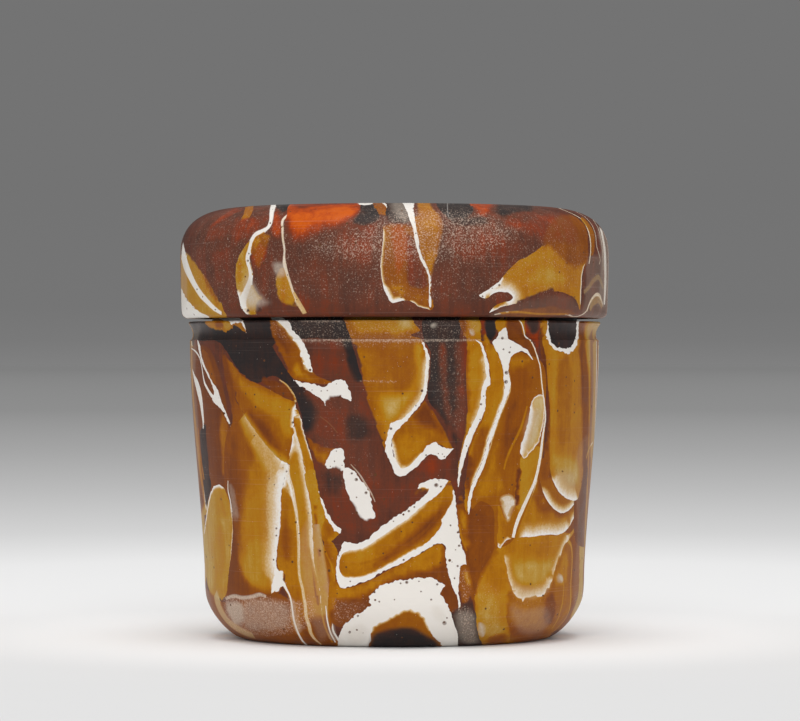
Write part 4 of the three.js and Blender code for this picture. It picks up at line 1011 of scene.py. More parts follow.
        (4.1, 13.8), (4.7, 14.4), (5.35, 15.25), (5.75, 15.1), (5.95, 14.2), (5.8, 13.1), (5.3, 12.3),
        (4.8, 11.3), (4.3, 10.4), (3.7, 9.7), (2.9, 9), (1.9, 8.45), (1, 7.95), (0.1, 7.4), (-0.9, 6.85),
        (-1.9, 6.3), (-3, 5.9), (-4.2, 5.75), (-5, 5.9), (-5.35, 6.4), (-5.45, 7)],
        white=[(33, 13, -0.1, 0.5), (22, 33, -0.05, 0.25)], fade=[(16, 20, 0.4)], ragged=0.02),
    tint(0.16, [(-3, 6.6), (-0.8, 8.4), (0.8, 9.8), (2.6, 11.4), (4.2, 12.8), (5.6, 14.4), (5.6, 12.8),
        (3.6, 9.8), (2.2, 8.7), (0.2, 7.6), (-2, 6.4)], 0.8),
    tint(0.66, [(-5, 7.9), (-3.6, 8.4), (-2.4, 8.9), (-1.8, 8.4), (-3, 7.6), (-4.6, 7)], 0.5),
    Streak([(-3.4, 7.1), (-1.6, 7.6), (0.2, 8.4), (1.8, 9.4), (3.2, 10.6), (4.4, 12)], (0.1, 0.16, 0.1),
        0.12, 0.4, {"cover": 1, "rim": 0.9, "tone": 0.4}),
    # Red-brown ground under the loop, with black specks
    ground(-0.35, [(3.4, 14.3), (5.6, 15.4), (6.5, 15.4), (6.3, 13), (5.6, 14.6), (4.6, 14.5)],
        fade=[(0, 0, 0.3)], strength=0.6),
    # Band under the loop
    amber(0.2, [(-5.7, 5.6), (-5.3, 4.75), (-4.4, 4.8), (-3.2, 5.2), (-2, 5.7), (-0.8, 6.4), (0.4, 7),
        (1.6, 7.65), (2.8, 8.25), (3.8, 8.9), (4.6, 9.05), (4.95, 8.5), (5, 7.6), (5.3, 6), (5.7, 4.7),
        (6.2, 3.6), (6.2, 2.6), (5.5, 2.4), (4.8, 3.4), (4.4, 4.3), (4.9, 5), (4, 5.6), (2.6, 5.7),
        (1, 5.6), (-0.8, 5.1), (-2, 4.5), (-2.4, 3.7), (-2.3, 3.2), (-3.2, 2.4), (-4.4, 1.6), (-5.2, 0.9),
        (-6, 1.2), (-6.2, 3.2)], ragged=0.02),
    tint(0.6, [(-6, 6), (-5.2, 5.2), (-3.2, 5.5), (-0.8, 6.8), (1.6, 8), (3.8, 9.3), (5, 9.2), (4.9, 7.2),
        (3.6, 6.3), (1.6, 5.9), (-0.6, 5.1), (-2.4, 4), (-4.6, 3.4), (-6, 3.6)], 0.5),
    amber(0.5, [(-6.3, 5.4), (-5.7, 5.2), (-5.6, 3.2), (-5.9, 1.4), (-6.2, 0.4), (-6.5, 2), (-6.5, 4)],
        fade=[(1, 4, 0.3)], ragged=0.01),
    tint(0.24, [(-6.4, 2.6), (-5.6, 2.8), (-5.6, 0.6), (-6.2, 0.4)], 0.3),
    frost_and_sheen(0.8, [(-6.2, 3.9), (-4.4, 3.7), (-2.6, 3.6), (-2.4, 2.8), (-4, 1.6), (-5.6, 0.8), (-6.2, 1.8)],
        0.4),
    # Splash of white at the foot
    milk([(6.4, -1.2), (6.35, 0), (6.1, 1), (5.8, 1.8), (5.3, 2.8), (4.9, 3.6), (4.55, 4.3), (4.95, 5),
        (4.5, 5.3), (3.8, 5.7), (3, 5.78), (2, 5.7), (1, 5.6), (0.1, 5.45), (-0.7, 5.15), (-1.4, 4.9),
        (-2, 4.5), (-2.4, 4), (-2.45, 3.5), (-2.3, 3.1), (-2.9, 2.7), (-3.7, 2.1), (-4.5, 1.5), (-5.1, 1),
        (-5.4, 0.2), (-5.5, -1.2), (0, -1.4)], ragged=0.06),
    amber(0.42, [(-2.5, -1.3), (-2.3, -0.3), (-2.2, 0.4), (-2, 1), (-1.4, 1.35), (-0.7, 1.7), (0, 2.1),
        (0.7, 2.5), (1.3, 2.65), (2, 2.5), (2.6, 2.2), (3, 1.7), (3.2, 1.1), (3.5, 0.5), (3.9, -0.1),
        (4.5, -0.6), (4.6, -1.3), (1, -1.4)], white=[(1, 14, -0.05, 0.35)], ragged=0.05),
    ground(0.9, [(-3.4, -1.6), (-3, 0.6), (-1.4, 1.4), (0, 1.7), (1.2, 1.8), (2.4, 1.6), (3.8, 0.8),
        (5.2, -0.2), (5.2, -1.6)], fade=[(0, 8, 2.1)]),
    haze_and_reflection(0.25, [(-4.9, 0.6), (-3.6, 1.4), (-2.6, 1), (-2.8, -0.6), (-4.6, -0.7)], 0.5),
    haze_and_reflection(0.25, [(3.4, 3), (4.6, 3.2), (5.3, 2), (4.9, 1.2), (3.8, 1.6)], 0.5),

    # Right of the middle, below
    amber(0.32, [(7, 8), (9.6, 14.5), (14, 17), (18.6, 17), (19.4, 12), (19.2, 6), (17.8, 1.6), (15.6, 0.4),
        (14.4, -0.8), (9.2, -1.2), (8.2, 0.6), (7.9, 4.3)], ragged=0.0),
    ground(0.55, [(5.6, 2.6), (6.4, 3.2), (7.4, 3.8), (8.2, 3.4), (8.4, 1.6), (8.8, -0.4), (9, -1.3),
        (6.4, -1.3), (6.2, 0.2)], fade=[(0, 3, 0.6), (3, 5, 0.3)]),
    haze_and_reflection(0.3, [(6, 2.6), (8, 2.4), (8.3, 0.6), (8.5, -0.6), (6.3, -0.6)], 0.6),
    frost_and_sheen(0.9, [(5.8, 2.6), (6.6, 3.4), (7.8, 3), (8.1, 1.2), (8.2, -0.6), (6.4, -0.6), (6.2, 1)], 0.5),
    amber(0.36, [(6.45, 2.8), (7.3, 3.2), (7.75, 4.2), (7.7, 5.4), (7.45, 6.4), (7.1, 7), (6.8, 7.1),
        (6.5, 6.8), (6.35, 5.4), (6.3, 4.2)], fade=[(9, 2, 0.6)], ragged=0.02),
    amber(0.3, [(7.4, 4.6), (7.7, 5.2), (8.1, 4.8), (8.2, 3.6), (8.2, 2), (7.8, 2.4), (7.5, 3.4)],
        fade=[(4, 1, 0.25)], ragged=0.01),
    tint(0.85, [(6.9, 6.9), (7.3, 6.4), (7.6, 5.2), (7.4, 4.6), (7, 5.2), (6.8, 6)], 0.35),
    frost_and_sheen(0.8, [(6.4, 6.6), (7.2, 6.8), (7.6, 5.4), (7.6, 4), (7, 3.2), (6.4, 3.8)], 0.3),
    amber(0.24, [(6.3, 10.6), (6.7, 8.7), (7.2, 7.3), (7.5, 6), (7.7, 5), (7.9, 4.5), (8.15, 5.3),
        (8.5, 6.3), (9, 7.2), (9.5, 8), (9.95, 9), (10.25, 10.5), (10.3, 12), (9.8, 13.6), (8.8, 13.9),
        (8.2, 13.7), (7.8, 12.9), (7.4, 12.3), (7.2, 12.8), (6.9, 13.8), (6.3, 14.6), (6.1, 13.2)],
        fade=[(18, 21, 0.5)]),
    tint(0.66, [(6.3, 12.6), (7.2, 12.2), (7.3, 10.2), (7.4, 8.8), (6.9, 8.6), (6.5, 10)], 0.45),
    Streak([(6.35, 11), (6.5, 10), (6.75, 9.2), (7.1, 8.4)], (0.08, 0.1, 0.05), 0.12, 0.6, TAN),
    amber(0.7, [(7.9, 4.3), (8.1, 5.4), (8.6, 6.5), (9.2, 7.5), (9.9, 8.4), (10.5, 9), (10.8, 7.8),
        (11, 6.8), (11.2, 5.8), (11.5, 4.9), (11.6, 4), (11.2, 3), (11.1, 2), (11.4, 1), (11.7, 0.2),
        (11.4, -0.7), (9.2, -1.2), (8.4, -0.4), (8.15, 0.6), (8, 2)], fade=[(14, 16, 0.4), (0, 4, 0.35)]),
    frost_and_sheen(0.6, [(7.8, 5.6), (10.2, 5.4), (10.8, 4), (10.6, 0), (8.8, -0.4), (8, 2.4)], 0.8),
    tint(0.6, [(8.6, 5.4), (9.4, 8), (10.4, 9), (10.9, 7), (11.2, 5), (10, 4.2)], 0.5),
    tint(0.82, [(8, 4.4), (10, 4.2), (10.6, 2), (10.8, 0.2), (8.8, -0.4), (8.1, 2)], 0.6),
    tint(0.4, [(9, -0.2), (10.6, 0.4), (11.2, 0.2), (11, -1), (9, -1.2)], 0.5),
    haze_and_reflection(0.9, [(8.2, 1.4), (8.9, 1.2), (9, 0.4), (8.6, -0.2), (8.2, 0.2)], 0.2),
    # Tan-brown foot, right
    amber(0.5, [(10.9, 4.2), (11.4, 4.6), (12.2, 3.8), (13.6, 4), (15, 4.8), (15.9, 6.6), (16.8, 9.2),
        (17.3, 9.4), (17.45, 6), (17.3, 3), (16.4, 1.2), (15.6, 0.4), (14.4, -0.6), (11.6, -0.9),
        (11.3, 0.6), (10.9, 2.2)], fade=[(15, 1, 0.3)], ragged=0.03),
    haze_and_reflection(0.2, [(11.2, 3.4), (12.8, 3), (15, 3.2), (15.6, 1.8), (14.2, 0.2), (12, 0.2)], 0.8),
    frost_and_sheen(0.45, [(11.2, 3.8), (15, 4), (16.8, 3), (15, 0.2), (12, 0)], 0.8),
    tint(0.3, [(11, 1.6), (12.6, 1.2), (14.4, 0.8), (15.4, 0.9), (14.4, -0.6), (11.6, -0.9)], 0.8),
    tint(0.66, [(15.6, 5.4), (16.4, 7.6), (16.9, 8.6), (17.1, 6.8), (16.8, 5), (16.2, 4.8)], 0.5),
    tint(0.2, [(15, 4), (15.6, 4.4), (15.9, 2.4), (15.2, 1), (14.6, 1.4)], 0.4),
    haze_and_reflection(0.9, [(15.9, 6.3), (16.5, 6), (16.55, 5.3), (16, 5.2)], 0.2),
    Streak([(16.3, 5.9), (16.6, 5.2), (16.6, 4.4), (16.5, 3.4), (16.3, 2.5), (16, 1.6), (15.5, 0.8)],
        (0.1, 0.14, 0.12, 0.1), 0.1, 0.7, CREAM),
    Streak([(16.9, 9.6), (17.3, 9), (17.45, 8), (17.4, 6.5), (17.3, 5), (17.3, 3.6), (17.15, 2.5),
        (16.7, 1.6), (16.1, 0.9), (15.5, 0.4)], (0.3, 0.14, 0.12, 0.12, 0.1), 0.1, 0.8, CREAM),
    amber(0.3, [(17.3, 10.4), (17.8, 12.6), (19.4, 12.6), (19.2, 6.4), (18.8, 3.4), (17.8, 1.6), (16, 0.2),
        (17.1, 2.2), (17.4, 3.6), (17.5, 6.4), (17.5, 8.6)]),
    # Painted reflection: a paler strip along the right edge of the foot, where the side turns away
    tint(0.84, [(18.2, 12), (18.4, 14), (19.6, 14), (19.4, 6), (19, 3), (18, 1), (17.2, 1.4), (18, 4),
        (18.1, 7)], 0.25),
    haze_and_reflection(0.3, [(18.3, 12), (18.5, 14), (19.6, 14), (19.4, 6), (19, 3), (18, 1), (17.4, 1.6), (18, 4),
        (18.2, 7)], 0.3),
    frost_and_sheen(0.6, [(17.8, 5.4), (18.9, 5.4), (18.6, 2.2), (17.6, 0.8), (16.6, 0.8), (17.4, 2.4)], 0.5),
    Streak([(18.3, 10.4), (18.35, 8.6), (18.3, 6.8), (18.2, 5), (17.9, 3.2)], (0.1, 0.2, 0.16, 0.1), 0.12,
        0.6, CREAM),

    # Fish scales, lower right
    amber(0.62, [(10.35, 8.3), (10.5, 7.3), (10.65, 6.4), (10.9, 5.5), (11.3, 4.8), (11.5, 4.2),
        (11.9, 3.5), (12.4, 3.2), (13.2, 3.35), (14, 3.6), (14.8, 3.9), (15.3, 4.5), (15.6, 5.4),
        (15.9, 6.4), (16.2, 7.3), (16.6, 8.3), (17, 9.2), (17.3, 10), (16.6, 10.2), (15.8, 9.9), (15, 9.95),
        (14, 9.85), (13, 9.75), (12.2, 9.8), (11.6, 9.6), (11, 9.4)], white=[(0, 5, 0.0, 1.3),
        (3, 13, 0.2, 1.6), (12, 17, 0.1, 1.2)], fade=[(0, 17, 0.25)], ragged=0.02),
    tint(0.84, [(11.4, 7.6), (14, 8), (15.8, 8), (15.4, 5.4), (13.4, 4.4), (11.6, 5.4)], 1.2),
    haze_and_reflection(0.3, [(11.2, 6), (12.2, 5.2), (14.4, 5), (15.4, 5.6), (15, 4.2), (13, 3.6), (11.6, 4.2)], 0.6),
    frost_and_sheen(0.5, [(11, 6), (12.2, 5.2), (14.4, 5), (15.4, 5.6), (15, 3.6), (13, 3), (11.4, 3.6)], 0.5),
    amber(0.56, [(11.7, 9.6), (12.05, 10.8), (12.5, 11.9), (12.95, 13), (13.35, 13.9), (13.75, 14.8),
        (14.05, 15.7), (14.15, 16.2), (14.2, 15.4), (14.3, 14.7), (14.7, 13.6), (15.1, 12.9), (15.7, 12.3),
        (16.3, 12), (16.9, 12.2), (17.5, 12.7), (18, 13.1), (17.9, 12.3), (17.5, 11.4), (17.1, 10.7),
        (16.6, 10.2), (15.9, 9.95), (15.2, 10), (14.3, 9.9), (13.3, 9.75), (12.4, 9.75)],
        white=[(16, 19, 0.0, 0.9), (18, 0, 0.1, 1.5), (0, 7, 0.0, 0.3)], fade=[(7, 15, 0.25)],
        ragged=0.015),
    tint(0.3, [(14.1, 14.4), (14.6, 13.6), (15.6, 12.4), (14.8, 11.8), (13.8, 12.4), (13.4, 13.4)], 0.6),
    tint(0.56, [(12.4, 11), (13.6, 13.6), (14, 13.2), (13.4, 11.4), (12.8, 10.4)], 0.4),
    amber(0.5, [(14.15, 16.3), (14.3, 15.2), (14.55, 14.3), (14.95, 13.4), (15.4, 12.8), (15.9, 12.35),
        (16.4, 12.1), (17, 12.3), (17.5, 12.8), (18, 13.25), (17.3, 13.4), (16.6, 13.7), (16.1, 14.1),
        (15.7, 14.8), (15.4, 15.6), (15.2, 16.6), (15.1, 18.2), (14.9, 18.8), (14.5, 17.6)],
        white=[(1, 9, 0.05, 0.9)], fade=[(15, 18, 0.3)], ragged=0.015),
    Streak([(16.9, 9.6), (17.25, 9.9), (17.6, 10.4), (17.9, 11.2), (18.1, 12)], (0.5, 0.35, 0.16, 0.1), 0.1,
        0.8, CREAM),

    # Broad ochre panel, right
    amber(0.16, [(17, 31.3), (21, 31.3), (20.8, 24), (20.4, 20), (19.8, 14), (19.4, 9), (18, 9), (17.6, 14),
        (17.4, 20)], ragged=0.0),
    amber(0.1, [(14.4, 31.3), (15.2, 31.3), (15.2, 29.4), (15.2, 26.5), (15.4, 23.5), (15.5, 20),
        (15.6, 16.4), (15.3, 15.4), (14.4, 16.2), (14.5, 17.4), (14.8, 20), (15, 22.5), (14.7, 25.5),
        (14.3, 28.6)], fade=[(6, 12, 0.25)]),
    tint(0.34, [(14.2, 18.4), (15.4, 18.6), (15.5, 16), (15, 15), (14, 15.6)], 0.7),
    amber(0.62, [(14.6, 29.4), (14.85, 27.5), (15, 25.4), (15.2, 23.4), (15.3, 21.6), (15.3, 19.4),
        (15.25, 17.4), (15.3, 16.2), (15.6, 15.2), (16, 14.4), (16.6, 13.75), (17.3, 13.4), (17.9, 13.4),
        (18.2, 14.2), (18.45, 15.4), (18.55, 17), (18.6, 19.5), (18.55, 22), (18.5, 24.5), (18.4, 26.5),
        (18.3, 28.2), (18.4, 29.6), (17, 30)], white=[(7, 13, 0.02, 1.8)], fade=[(15, 22, 0.6)],
        ragged=0.015),
    tint(0.5, [(15.8, 27.2), (17.2, 27.4), (17.4, 22), (17.2, 19), (16.2, 18.6), (15.9, 22)], 0.5),
    tint(0.68, [(15.1, 28.6), (15.8, 28.6), (16, 22), (15.9, 17.4), (15.3, 17.4), (15.2, 22)], 0.4),
    tint(0.86, [(15.5, 18.2), (17.8, 18), (18.2, 15), (17, 13.8), (15.8, 14.8)], 1.2),
    haze_and_reflection(0.3, [(15.7, 16.4), (17.8, 16.4), (18.2, 14.6), (17, 13.8), (15.9, 14.8)], 0.9),
    ground(0.75, [(15, 31.3), (18.1, 31.3), (18, 29.6), (17.8, 28.6), (17.3, 28.1), (16.8, 27.9),
        (16.2, 28.05), (15.6, 28.4), (15.2, 29.1), (15, 30)], ragged=0.03),
    milk([(14.9, 31.2), (14.95, 30.4), (14.75, 29.6), (15.1, 28.7), (15.5, 28.2), (16, 27.9), (16.5, 27.9),
        (16.9, 27.7), (17.4, 27.95), (17.8, 28.4), (18, 29.1), (18.1, 30), (18.1, 31.2), (17.9, 31),
        (17.85, 29.9), (17.7, 29.1), (17.4, 28.5), (16.9, 28.3), (16.3, 28.35), (15.8, 28.55), (15.4, 29),
        (15.2, 29.8), (15.1, 30.6)], fade=[(2, 7, 0.12)]),

    # Right edge
    amber(0.24, [(18.4, 29.4), (19.3, 29.4), (19.4, 25), (19.3, 20), (18.9, 18.6), (18.5, 20), (18.5, 25)],
        fade=[(4, 0, 0.15)]),
    amber(0.24, [(18.2, 31.3), (20.4, 31.3), (20.3, 29.2), (18.3, 29.2)], fade=[(3, 0, 0.3)]),
    amber(0.8, [(18.8, 31.3), (20.8, 31.3), (20.7, 24), (20.4, 20), (19.8, 14), (19.3, 9), (18.9, 4),
        (18.6, 8), (18.8, 14.4), (19, 20), (19, 25)], fade=[(6, 0, 0.6)]),
    # Painted reflection: a pale veil and the pale streak after it along the right edge, where the side
    # turns away
    haze_and_reflection(0.25, [(19.1, 31.3), (20.8, 31.3), (20.7, 24), (20.4, 20), (19.8, 14), (19.2, 5), (18.6, 2),
        (18.4, 6), (18.9, 14.4), (19.1, 20), (19.25, 25)], 0.6),
    Streak([(19.35, 30), (19.4, 25), (19.3, 20), (19.1, 15), (18.8, 10)], (0.3, 0.8, 0.6, 0.2), 0.5, 0.7,
        {"tone": 0.1}),
    Streak([(19.75, 29), (19.7, 25), (19.6, 22.5), (19.45, 20), (19.3, 17.6)], (0.6, 1.0, 1.0, 0.6), 0.5,
        0.7, PALE),
    Streak([(19.95, 30), (19.9, 26), (19.8, 22), (19.6, 17), (19.2, 11)], (0.4, 1.2, 0.7, 0.2), 0.5, 0.7,
        {"tone": 0.2}),
    Streak([(19.85, 29), (19.84, 26), (19.75, 22.5), (19.6, 19)], (0.1, 0.3, 0.1), 0.12, 0.9),
    Streak([(18.8, 17.3), (19, 18.1), (19.25, 18.7), (19.5, 19.1), (19.7, 19.6)], (0.16, 0.2, 0.16, 0.06),
        0.1, 0.8, PALE),
    amber(0.04, [(18.7, 17.8), (19, 17), (18.9, 14.6), (18.6, 11.6), (18.3, 9), (18, 9.4), (18.1, 12),
        (18.2, 13.6), (18.5, 15.6)], fade=[(0, 0, 0.25)]),
    haze_and_reflection(0.12, [(17.8, 18), (19, 20), (18.8, 9), (18.4, 3), (17.6, 3), (17.9, 10)], 0.5),

    # Ribbons in the upper right, with their white borders
    amber(0.42, [(7.4, 28.6), (8.6, 29), (11, 28), (14.4, 27), (14.8, 22), (14.4, 17), (12.6, 11.6),
        (11.4, 9.2), (10, 8.8), (9.6, 12.6), (7.6, 14), (7.3, 20)], ragged=0.0),
    # A small chip in the rim, drawn only as colour: the dark in its bite is painted shade
    ground(-0.45, [(8.3, 31.3), (9.6, 31.3), (9.2, 29.6), (8.7, 29.2), (8.3, 29.8)], fade=[(0, 0, 0.3)]),
    ground(1, [(8.8, 31), (9.8, 31.1), (10, 30.2), (9.6, 29.5), (9.1, 29.6)], fade=[(0, 0, 0.2)]),
    amber(0.16, [(10.9, 31.3), (12.3, 31.3), (12.7, 30.2), (12.9, 29.3), (13.5, 28.9), (14, 27.4),
        (13.4, 27.4), (12.6, 27.9), (11.8, 28.8), (11.1, 29.2)], fade=[(7, 0, 0.3)]),
    amber(0.66, [(9.9, 31.3), (11, 31.3), (11, 30), (10.2, 29.7), (9.9, 30.2)], fade=[(0, 0, 0.15)]),
    amber(0.66, [(12.25, 31.3), (12.75, 31.3), (12.85, 29.6), (12.6, 29.6), (12.3, 30.8)],
        fade=[(0, 0, 0.1)]),
    ground(-0.5, [(12.8, 31.3), (14.2, 31.3), (14.3, 29.5), (14.1, 27.6), (13.5, 28.9), (12.9, 29.6)],
        fade=[(0, 0, 0.2)]),
    ground(0.5, [(12.9, 31.3), (14.1, 31.3), (14.2, 30), (13.6, 29.6), (13, 30.2)], fade=[(0, 0, 0.25)]),
    amber(0.7, [(14.35, 31.3), (14.95, 31.3), (14.9, 29.6), (14.5, 29.4), (14.3, 30.4)],
        fade=[(0, 0, 0.12)]),
    amber(0.4, [(11.3, 27.3), (11.9, 27.8), (12.6, 27.9), (13.3, 27.5), (14, 27.4), (14.3, 26.3),
        (14.5, 25.2), (14.5, 24), (14.2, 23.7), (13.8, 23.4), (13.4, 22.8), (13.2, 21.8), (12.9, 20.6),
        (12.5, 19.4), (12.2, 18.2), (12.6, 17.6), (12.4, 16.2), (11.9, 14.6), (11.8, 13.6), (10.9, 13.8),
        (10.5, 13.6), (9.8, 13.3), (8.8, 13.3), (8.2, 13.2), (7.6, 12.5), (7.4, 13.3), (8, 15), (8.8, 16.6),
        (9.2, 18.2), (9.7, 19.8), (10.3, 21.6), (10.9, 23), (11.3, 24.2), (11.3, 25.6), (11.2, 26.6)],
        white=[(27, 34, -0.05, 0.25)], fade=[(12, 19, 0.3)]),
    tint(0.2, [(11.2, 23), (12.4, 23.6), (12.8, 21.4), (11.8, 18.4), (10.6, 17), (10.4, 20.6)], 0.8),
    tint(0.6, [(8, 15), (9, 16.8), (9.8, 19.4), (10.4, 19.2), (10.4, 16.6), (11, 14.6), (9.2, 13.4),
        (7.8, 13.4)], 0.7),
    tint(0.62, [(11.2, 27.6), (13.4, 27.6), (13.2, 26.6), (12, 26), (11.3, 25.6)], 0.5),
    tint(0.36, [(11.6, 26.4), (13.2, 26.4), (13.8, 24.6), (12.9, 22), (12, 20), (11.4, 20.4), (11.7, 23)],
        0.7),
    Streak([(13, 22.6), (12.75, 21.6), (12.4, 20.5), (11.9, 19.4), (11.4, 18.4), (11, 17.4), (10.75, 16.4)],
        (0.05, 0.14, 0.16, 0.14, 0.06), 0.12, 0.6, CREAM),
    # Ochre below, and the pale flake beside it
    amber(0.58, [(10.2, 12.9), (11, 11.5), (11.5, 12), (12, 13.2), (12.6, 14.4), (13.2, 15), (13, 14),
        (12.4, 12.4), (11.9, 11), (11.6, 9.7), (11, 9.4), (10.3, 8.7), (10.05, 9.4), (10.2, 10.6)],
        white=[(9, 12, 0.0, 0.4)]),
    amber(0.7, [(12.4, 17.6), (13, 17.9), (13.8, 18.6), (14.3, 18.6), (14.2, 17.2), (13.9, 15.9),
        (13.4, 14.6), (12.9, 13.4), (12.3, 12.5), (11.85, 12.8), (11.8, 14), (12, 15.2), (12.3, 16.4)]),
    amber(0.04, [(12.1, 16.8), (12.5, 16.4), (12.35, 15), (12.2, 12.8), (11.8, 12.8), (11.85, 14.8)],
        fade=[(0, 0, 0.15)]),
    amber(0.96, [(14.6, 23.7), (14, 23.65), (13.6, 23.3), (13.35, 22.6), (13.2, 21.6), (13, 20.6),
        (12.7, 19.6), (12.4, 18.7), (12.4, 17.9), (12.8, 17.5), (13.2, 17.9), (13.7, 18.5), (14.1, 19),
        (14.4, 20), (14.65, 21.2), (14.75, 22.6)], white=[(0, 0, 0.0, 0.35), (2, 9, 0.25, 0.8)]),
    haze_and_reflection(0.4, [(12.6, 20), (13.4, 22.4), (14.4, 22.4), (14.2, 20), (13.8, 19), (13, 18), (12.5, 18.2)],
        0.5),
    frost_and_sheen(0.6, [(12.8, 21), (13.6, 23.2), (14.4, 23), (14, 20), (13, 18.4), (12.6, 19)], 0.4),
    Shape([(10.3, 13.6), (10.9, 14), (11.5, 13.95), (12, 13.3), (11.8, 12.5), (11.5, 11.8), (11.25, 11),
        (10.9, 11.4), (10.5, 12.6)], {"cover": 1, "rim": 0.12, "tone": 0.9, "haze_and_reflection": 0.5},
        fade=((0, 0, 0.28),)),
    Streak([(12.1, 31.2), (12.5, 30.7), (12.7, 30), (12.8, 29.5), (13.3, 29.1), (13.7, 28.4), (14, 27.5),
        (14.3, 26.5), (14.4, 25.5), (14.5, 24.5), (14.62, 23.6), (14.75, 22.5), (14.8, 21.5), (14.65, 20.3),
        (14.5, 19.2), (14.4, 18.2), (14.2, 17), (14, 16), (13.7, 15), (13.3, 14.1), (12.8, 13),
        (12.3, 11.9), (11.9, 10.8), (11.65, 9.7)], (0.1, 0.08, 0.06, 0.08, 0.12, 0.1, 0.16, 0.3, 0.32, 0.36,
        0.4, 0.3), 0.1, 1.0, PALE),
    amber(0.63, [(8.8, 30.2), (9.6, 28.9), (10, 28), (10.4, 27.1), (10.7, 26), (10.8, 24.8), (10.75, 23.6),
        (10.3, 22.4), (9.8, 21), (9.3, 19.7), (8.95, 18.4), (8.6, 17.2), (8.1, 16), (7.6, 14.8),
        (7.3, 13.6), (7.2, 12.2), (7, 12.4), (6.9, 14.4), (7.1, 16.2), (7.3, 17.6), (7.9, 19.6), (8.5, 21),
        (8.95, 22.4), (9, 24.3), (9.4, 24.9), (9.4, 26), (9.2, 27.2), (8.8, 28.5), (8.5, 29.2)],
        white=[(4, 14, 0.0, 0.3)], fade=[(27, 1, 0.5)]),
    tint(0.34, [(8.2, 20.6), (9.6, 20.8), (9, 17.6), (8, 15.4), (7.2, 13), (6.8, 13.6), (7.2, 17)], 0.6),
    tint(0.12, [(7, 17.8), (7.7, 17.8), (7.8, 16), (7.3, 13.8), (6.8, 14.4)], 0.3),
    milk([(10.9, 30.3), (10.3, 29.9), (10.05, 29.3), (9.6, 28.9), (9.9, 28.2), (10.3, 27.5), (10.55, 26.7),
        (10.72, 25.8), (10.7, 25.2), (10.8, 24.5), (10.75, 23.6), (10.4, 22.7), (10.1, 21.8), (9.7, 20.7),
        (9.3, 19.7), (9.05, 18.8), (8.8, 17.8), (8.4, 16.7), (7.9, 15.6), (7.55, 14.7), (7.3, 13.7),
        (7.15, 12.8), (7.3, 12), (7.45, 12.8), (7.6, 13.8), (8, 15), (8.4, 15.9), (8.85, 16.8), (9.15, 18),
        (9.4, 19), (9.8, 20), (10.15, 21.1), (10.6, 22.3), (11, 23.3), (11.3, 24.2), (11.38, 24.9),
        (11.25, 25.6), (11.2, 26.4), (11.4, 27.35), (11.9, 27.85), (12.5, 28), (13, 27.8), (13.6, 27.15),
        (13.2, 27.95), (12.6, 28.4), (11.9, 28.85), (11.25, 29.15), (11.1, 29.8)], ragged=0.025),
    amber(0.66, [(6.4, 31.3), (8.2, 31.3), (8.5, 29.6), (8.6, 28.6), (8.9, 27.6), (9.1, 26.4), (9.2, 25.4),
        (9, 24.6), (8.8, 23.4), (8.5, 22.3), (8.1, 21.3), (7.7, 20.4), (7.3, 19.6), (7, 18.6), (6.8, 17.4),
        (6.6, 16.4), (6.3, 15.2), (6.3, 17.4), (6.6, 19), (6.9, 21), (7.15, 23), (7.15, 25), (7.05, 27),
        (6.85, 29.4)], white=[(3, 12, -0.12, 1.0)], fade=[(17, 23, 0.3)]),
    tint(0.3, [(6.4, 31.4), (7, 31.4), (7.2, 30), (6.9, 29.4), (6.4, 30)], 0.2),
    tint(0.78, [(7.4, 31.4), (8.3, 31.4), (8.5, 30), (7.9, 29.6), (7.4, 30)], 0.25),
    haze_and_reflection(0.9, [(7.3, 30.2), (7.8, 30.3), (7.9, 29.6), (7.5, 29.5)], 0.15),
    milk([(8, 29.1), (8.5, 28.9), (8.8, 28.3), (9, 27.6), (9.25, 26.6), (9.35, 25.6), (9.4, 24.7),
        (9.05, 24.4), (8.95, 23.8), (8.95, 23), (8.85, 22.2), (8.5, 21.3), (8.05, 20.4), (7.6, 19.4),
        (7.2, 18.4), (6.95, 17.6), (6.7, 16.7), (6.5, 15.9), (6.38, 15.1), (6.25, 14.6), (6.2, 15.4),
        (6.28, 16.4), (6.42, 17.4), (6.65, 18.4), (6.95, 19.4), (7.35, 20.3), (7.75, 21.1), (8.15, 22),
        (8.4, 23), (8.55, 24.1), (8.7, 24.8), (9, 25.4), (8.9, 26.4), (8.85, 27.2), (8.6, 28), (8.4, 28.7)],
        ragged=0.025),
    ground(1, [(9, 30.2), (9.9, 30.4), (10, 30), (9.85, 29.45), (9.4, 29), (9, 29.4)], fade=[(0, 0, 0.12)]),

    # Flake with a white border, upper left
    amber(0.34, [(-12.2, 31.4), (-11, 31.2), (-10.1, 30.2), (-9.2, 29.2), (-8.5, 27.8), (-8.1, 26.1),
        (-7.6, 25.6), (-6.8, 25.25), (-6.1, 25), (-7, 24.75), (-8.3, 24.95), (-9.4, 25.1), (-10, 25.4),
        (-10.6, 26.2), (-11.1, 27.2), (-11.6, 28.3), (-12.1, 29.4), (-12.35, 30.4)],
        white=[(1, 6, 0.3, 0.5)], fade=[(13, 0, 0.35)]),
    tint(0.66, [(-10.2, 26.4), (-9.4, 27), (-8.6, 26), (-7.2, 25.3), (-8.4, 25), (-9.8, 25.4)], 0.4),
    tint(0.16, [(-11.6, 30.4), (-10.9, 29.6), (-10.2, 28.4), (-10.4, 27.4), (-11.1, 28.2), (-11.8, 29.6)],
        0.4),
    milk([(-12, 31.4), (-10.8, 31.3), (-10.2, 30.6), (-10, 30), (-9.6, 29.6), (-9.15, 29.2), (-8.8, 28.5),
        (-8.4, 27.6), (-8.15, 26.6), (-8.1, 25.9), (-8.5, 26.2), (-8.95, 26.8), (-9.2, 27.5), (-9.4, 28.2),
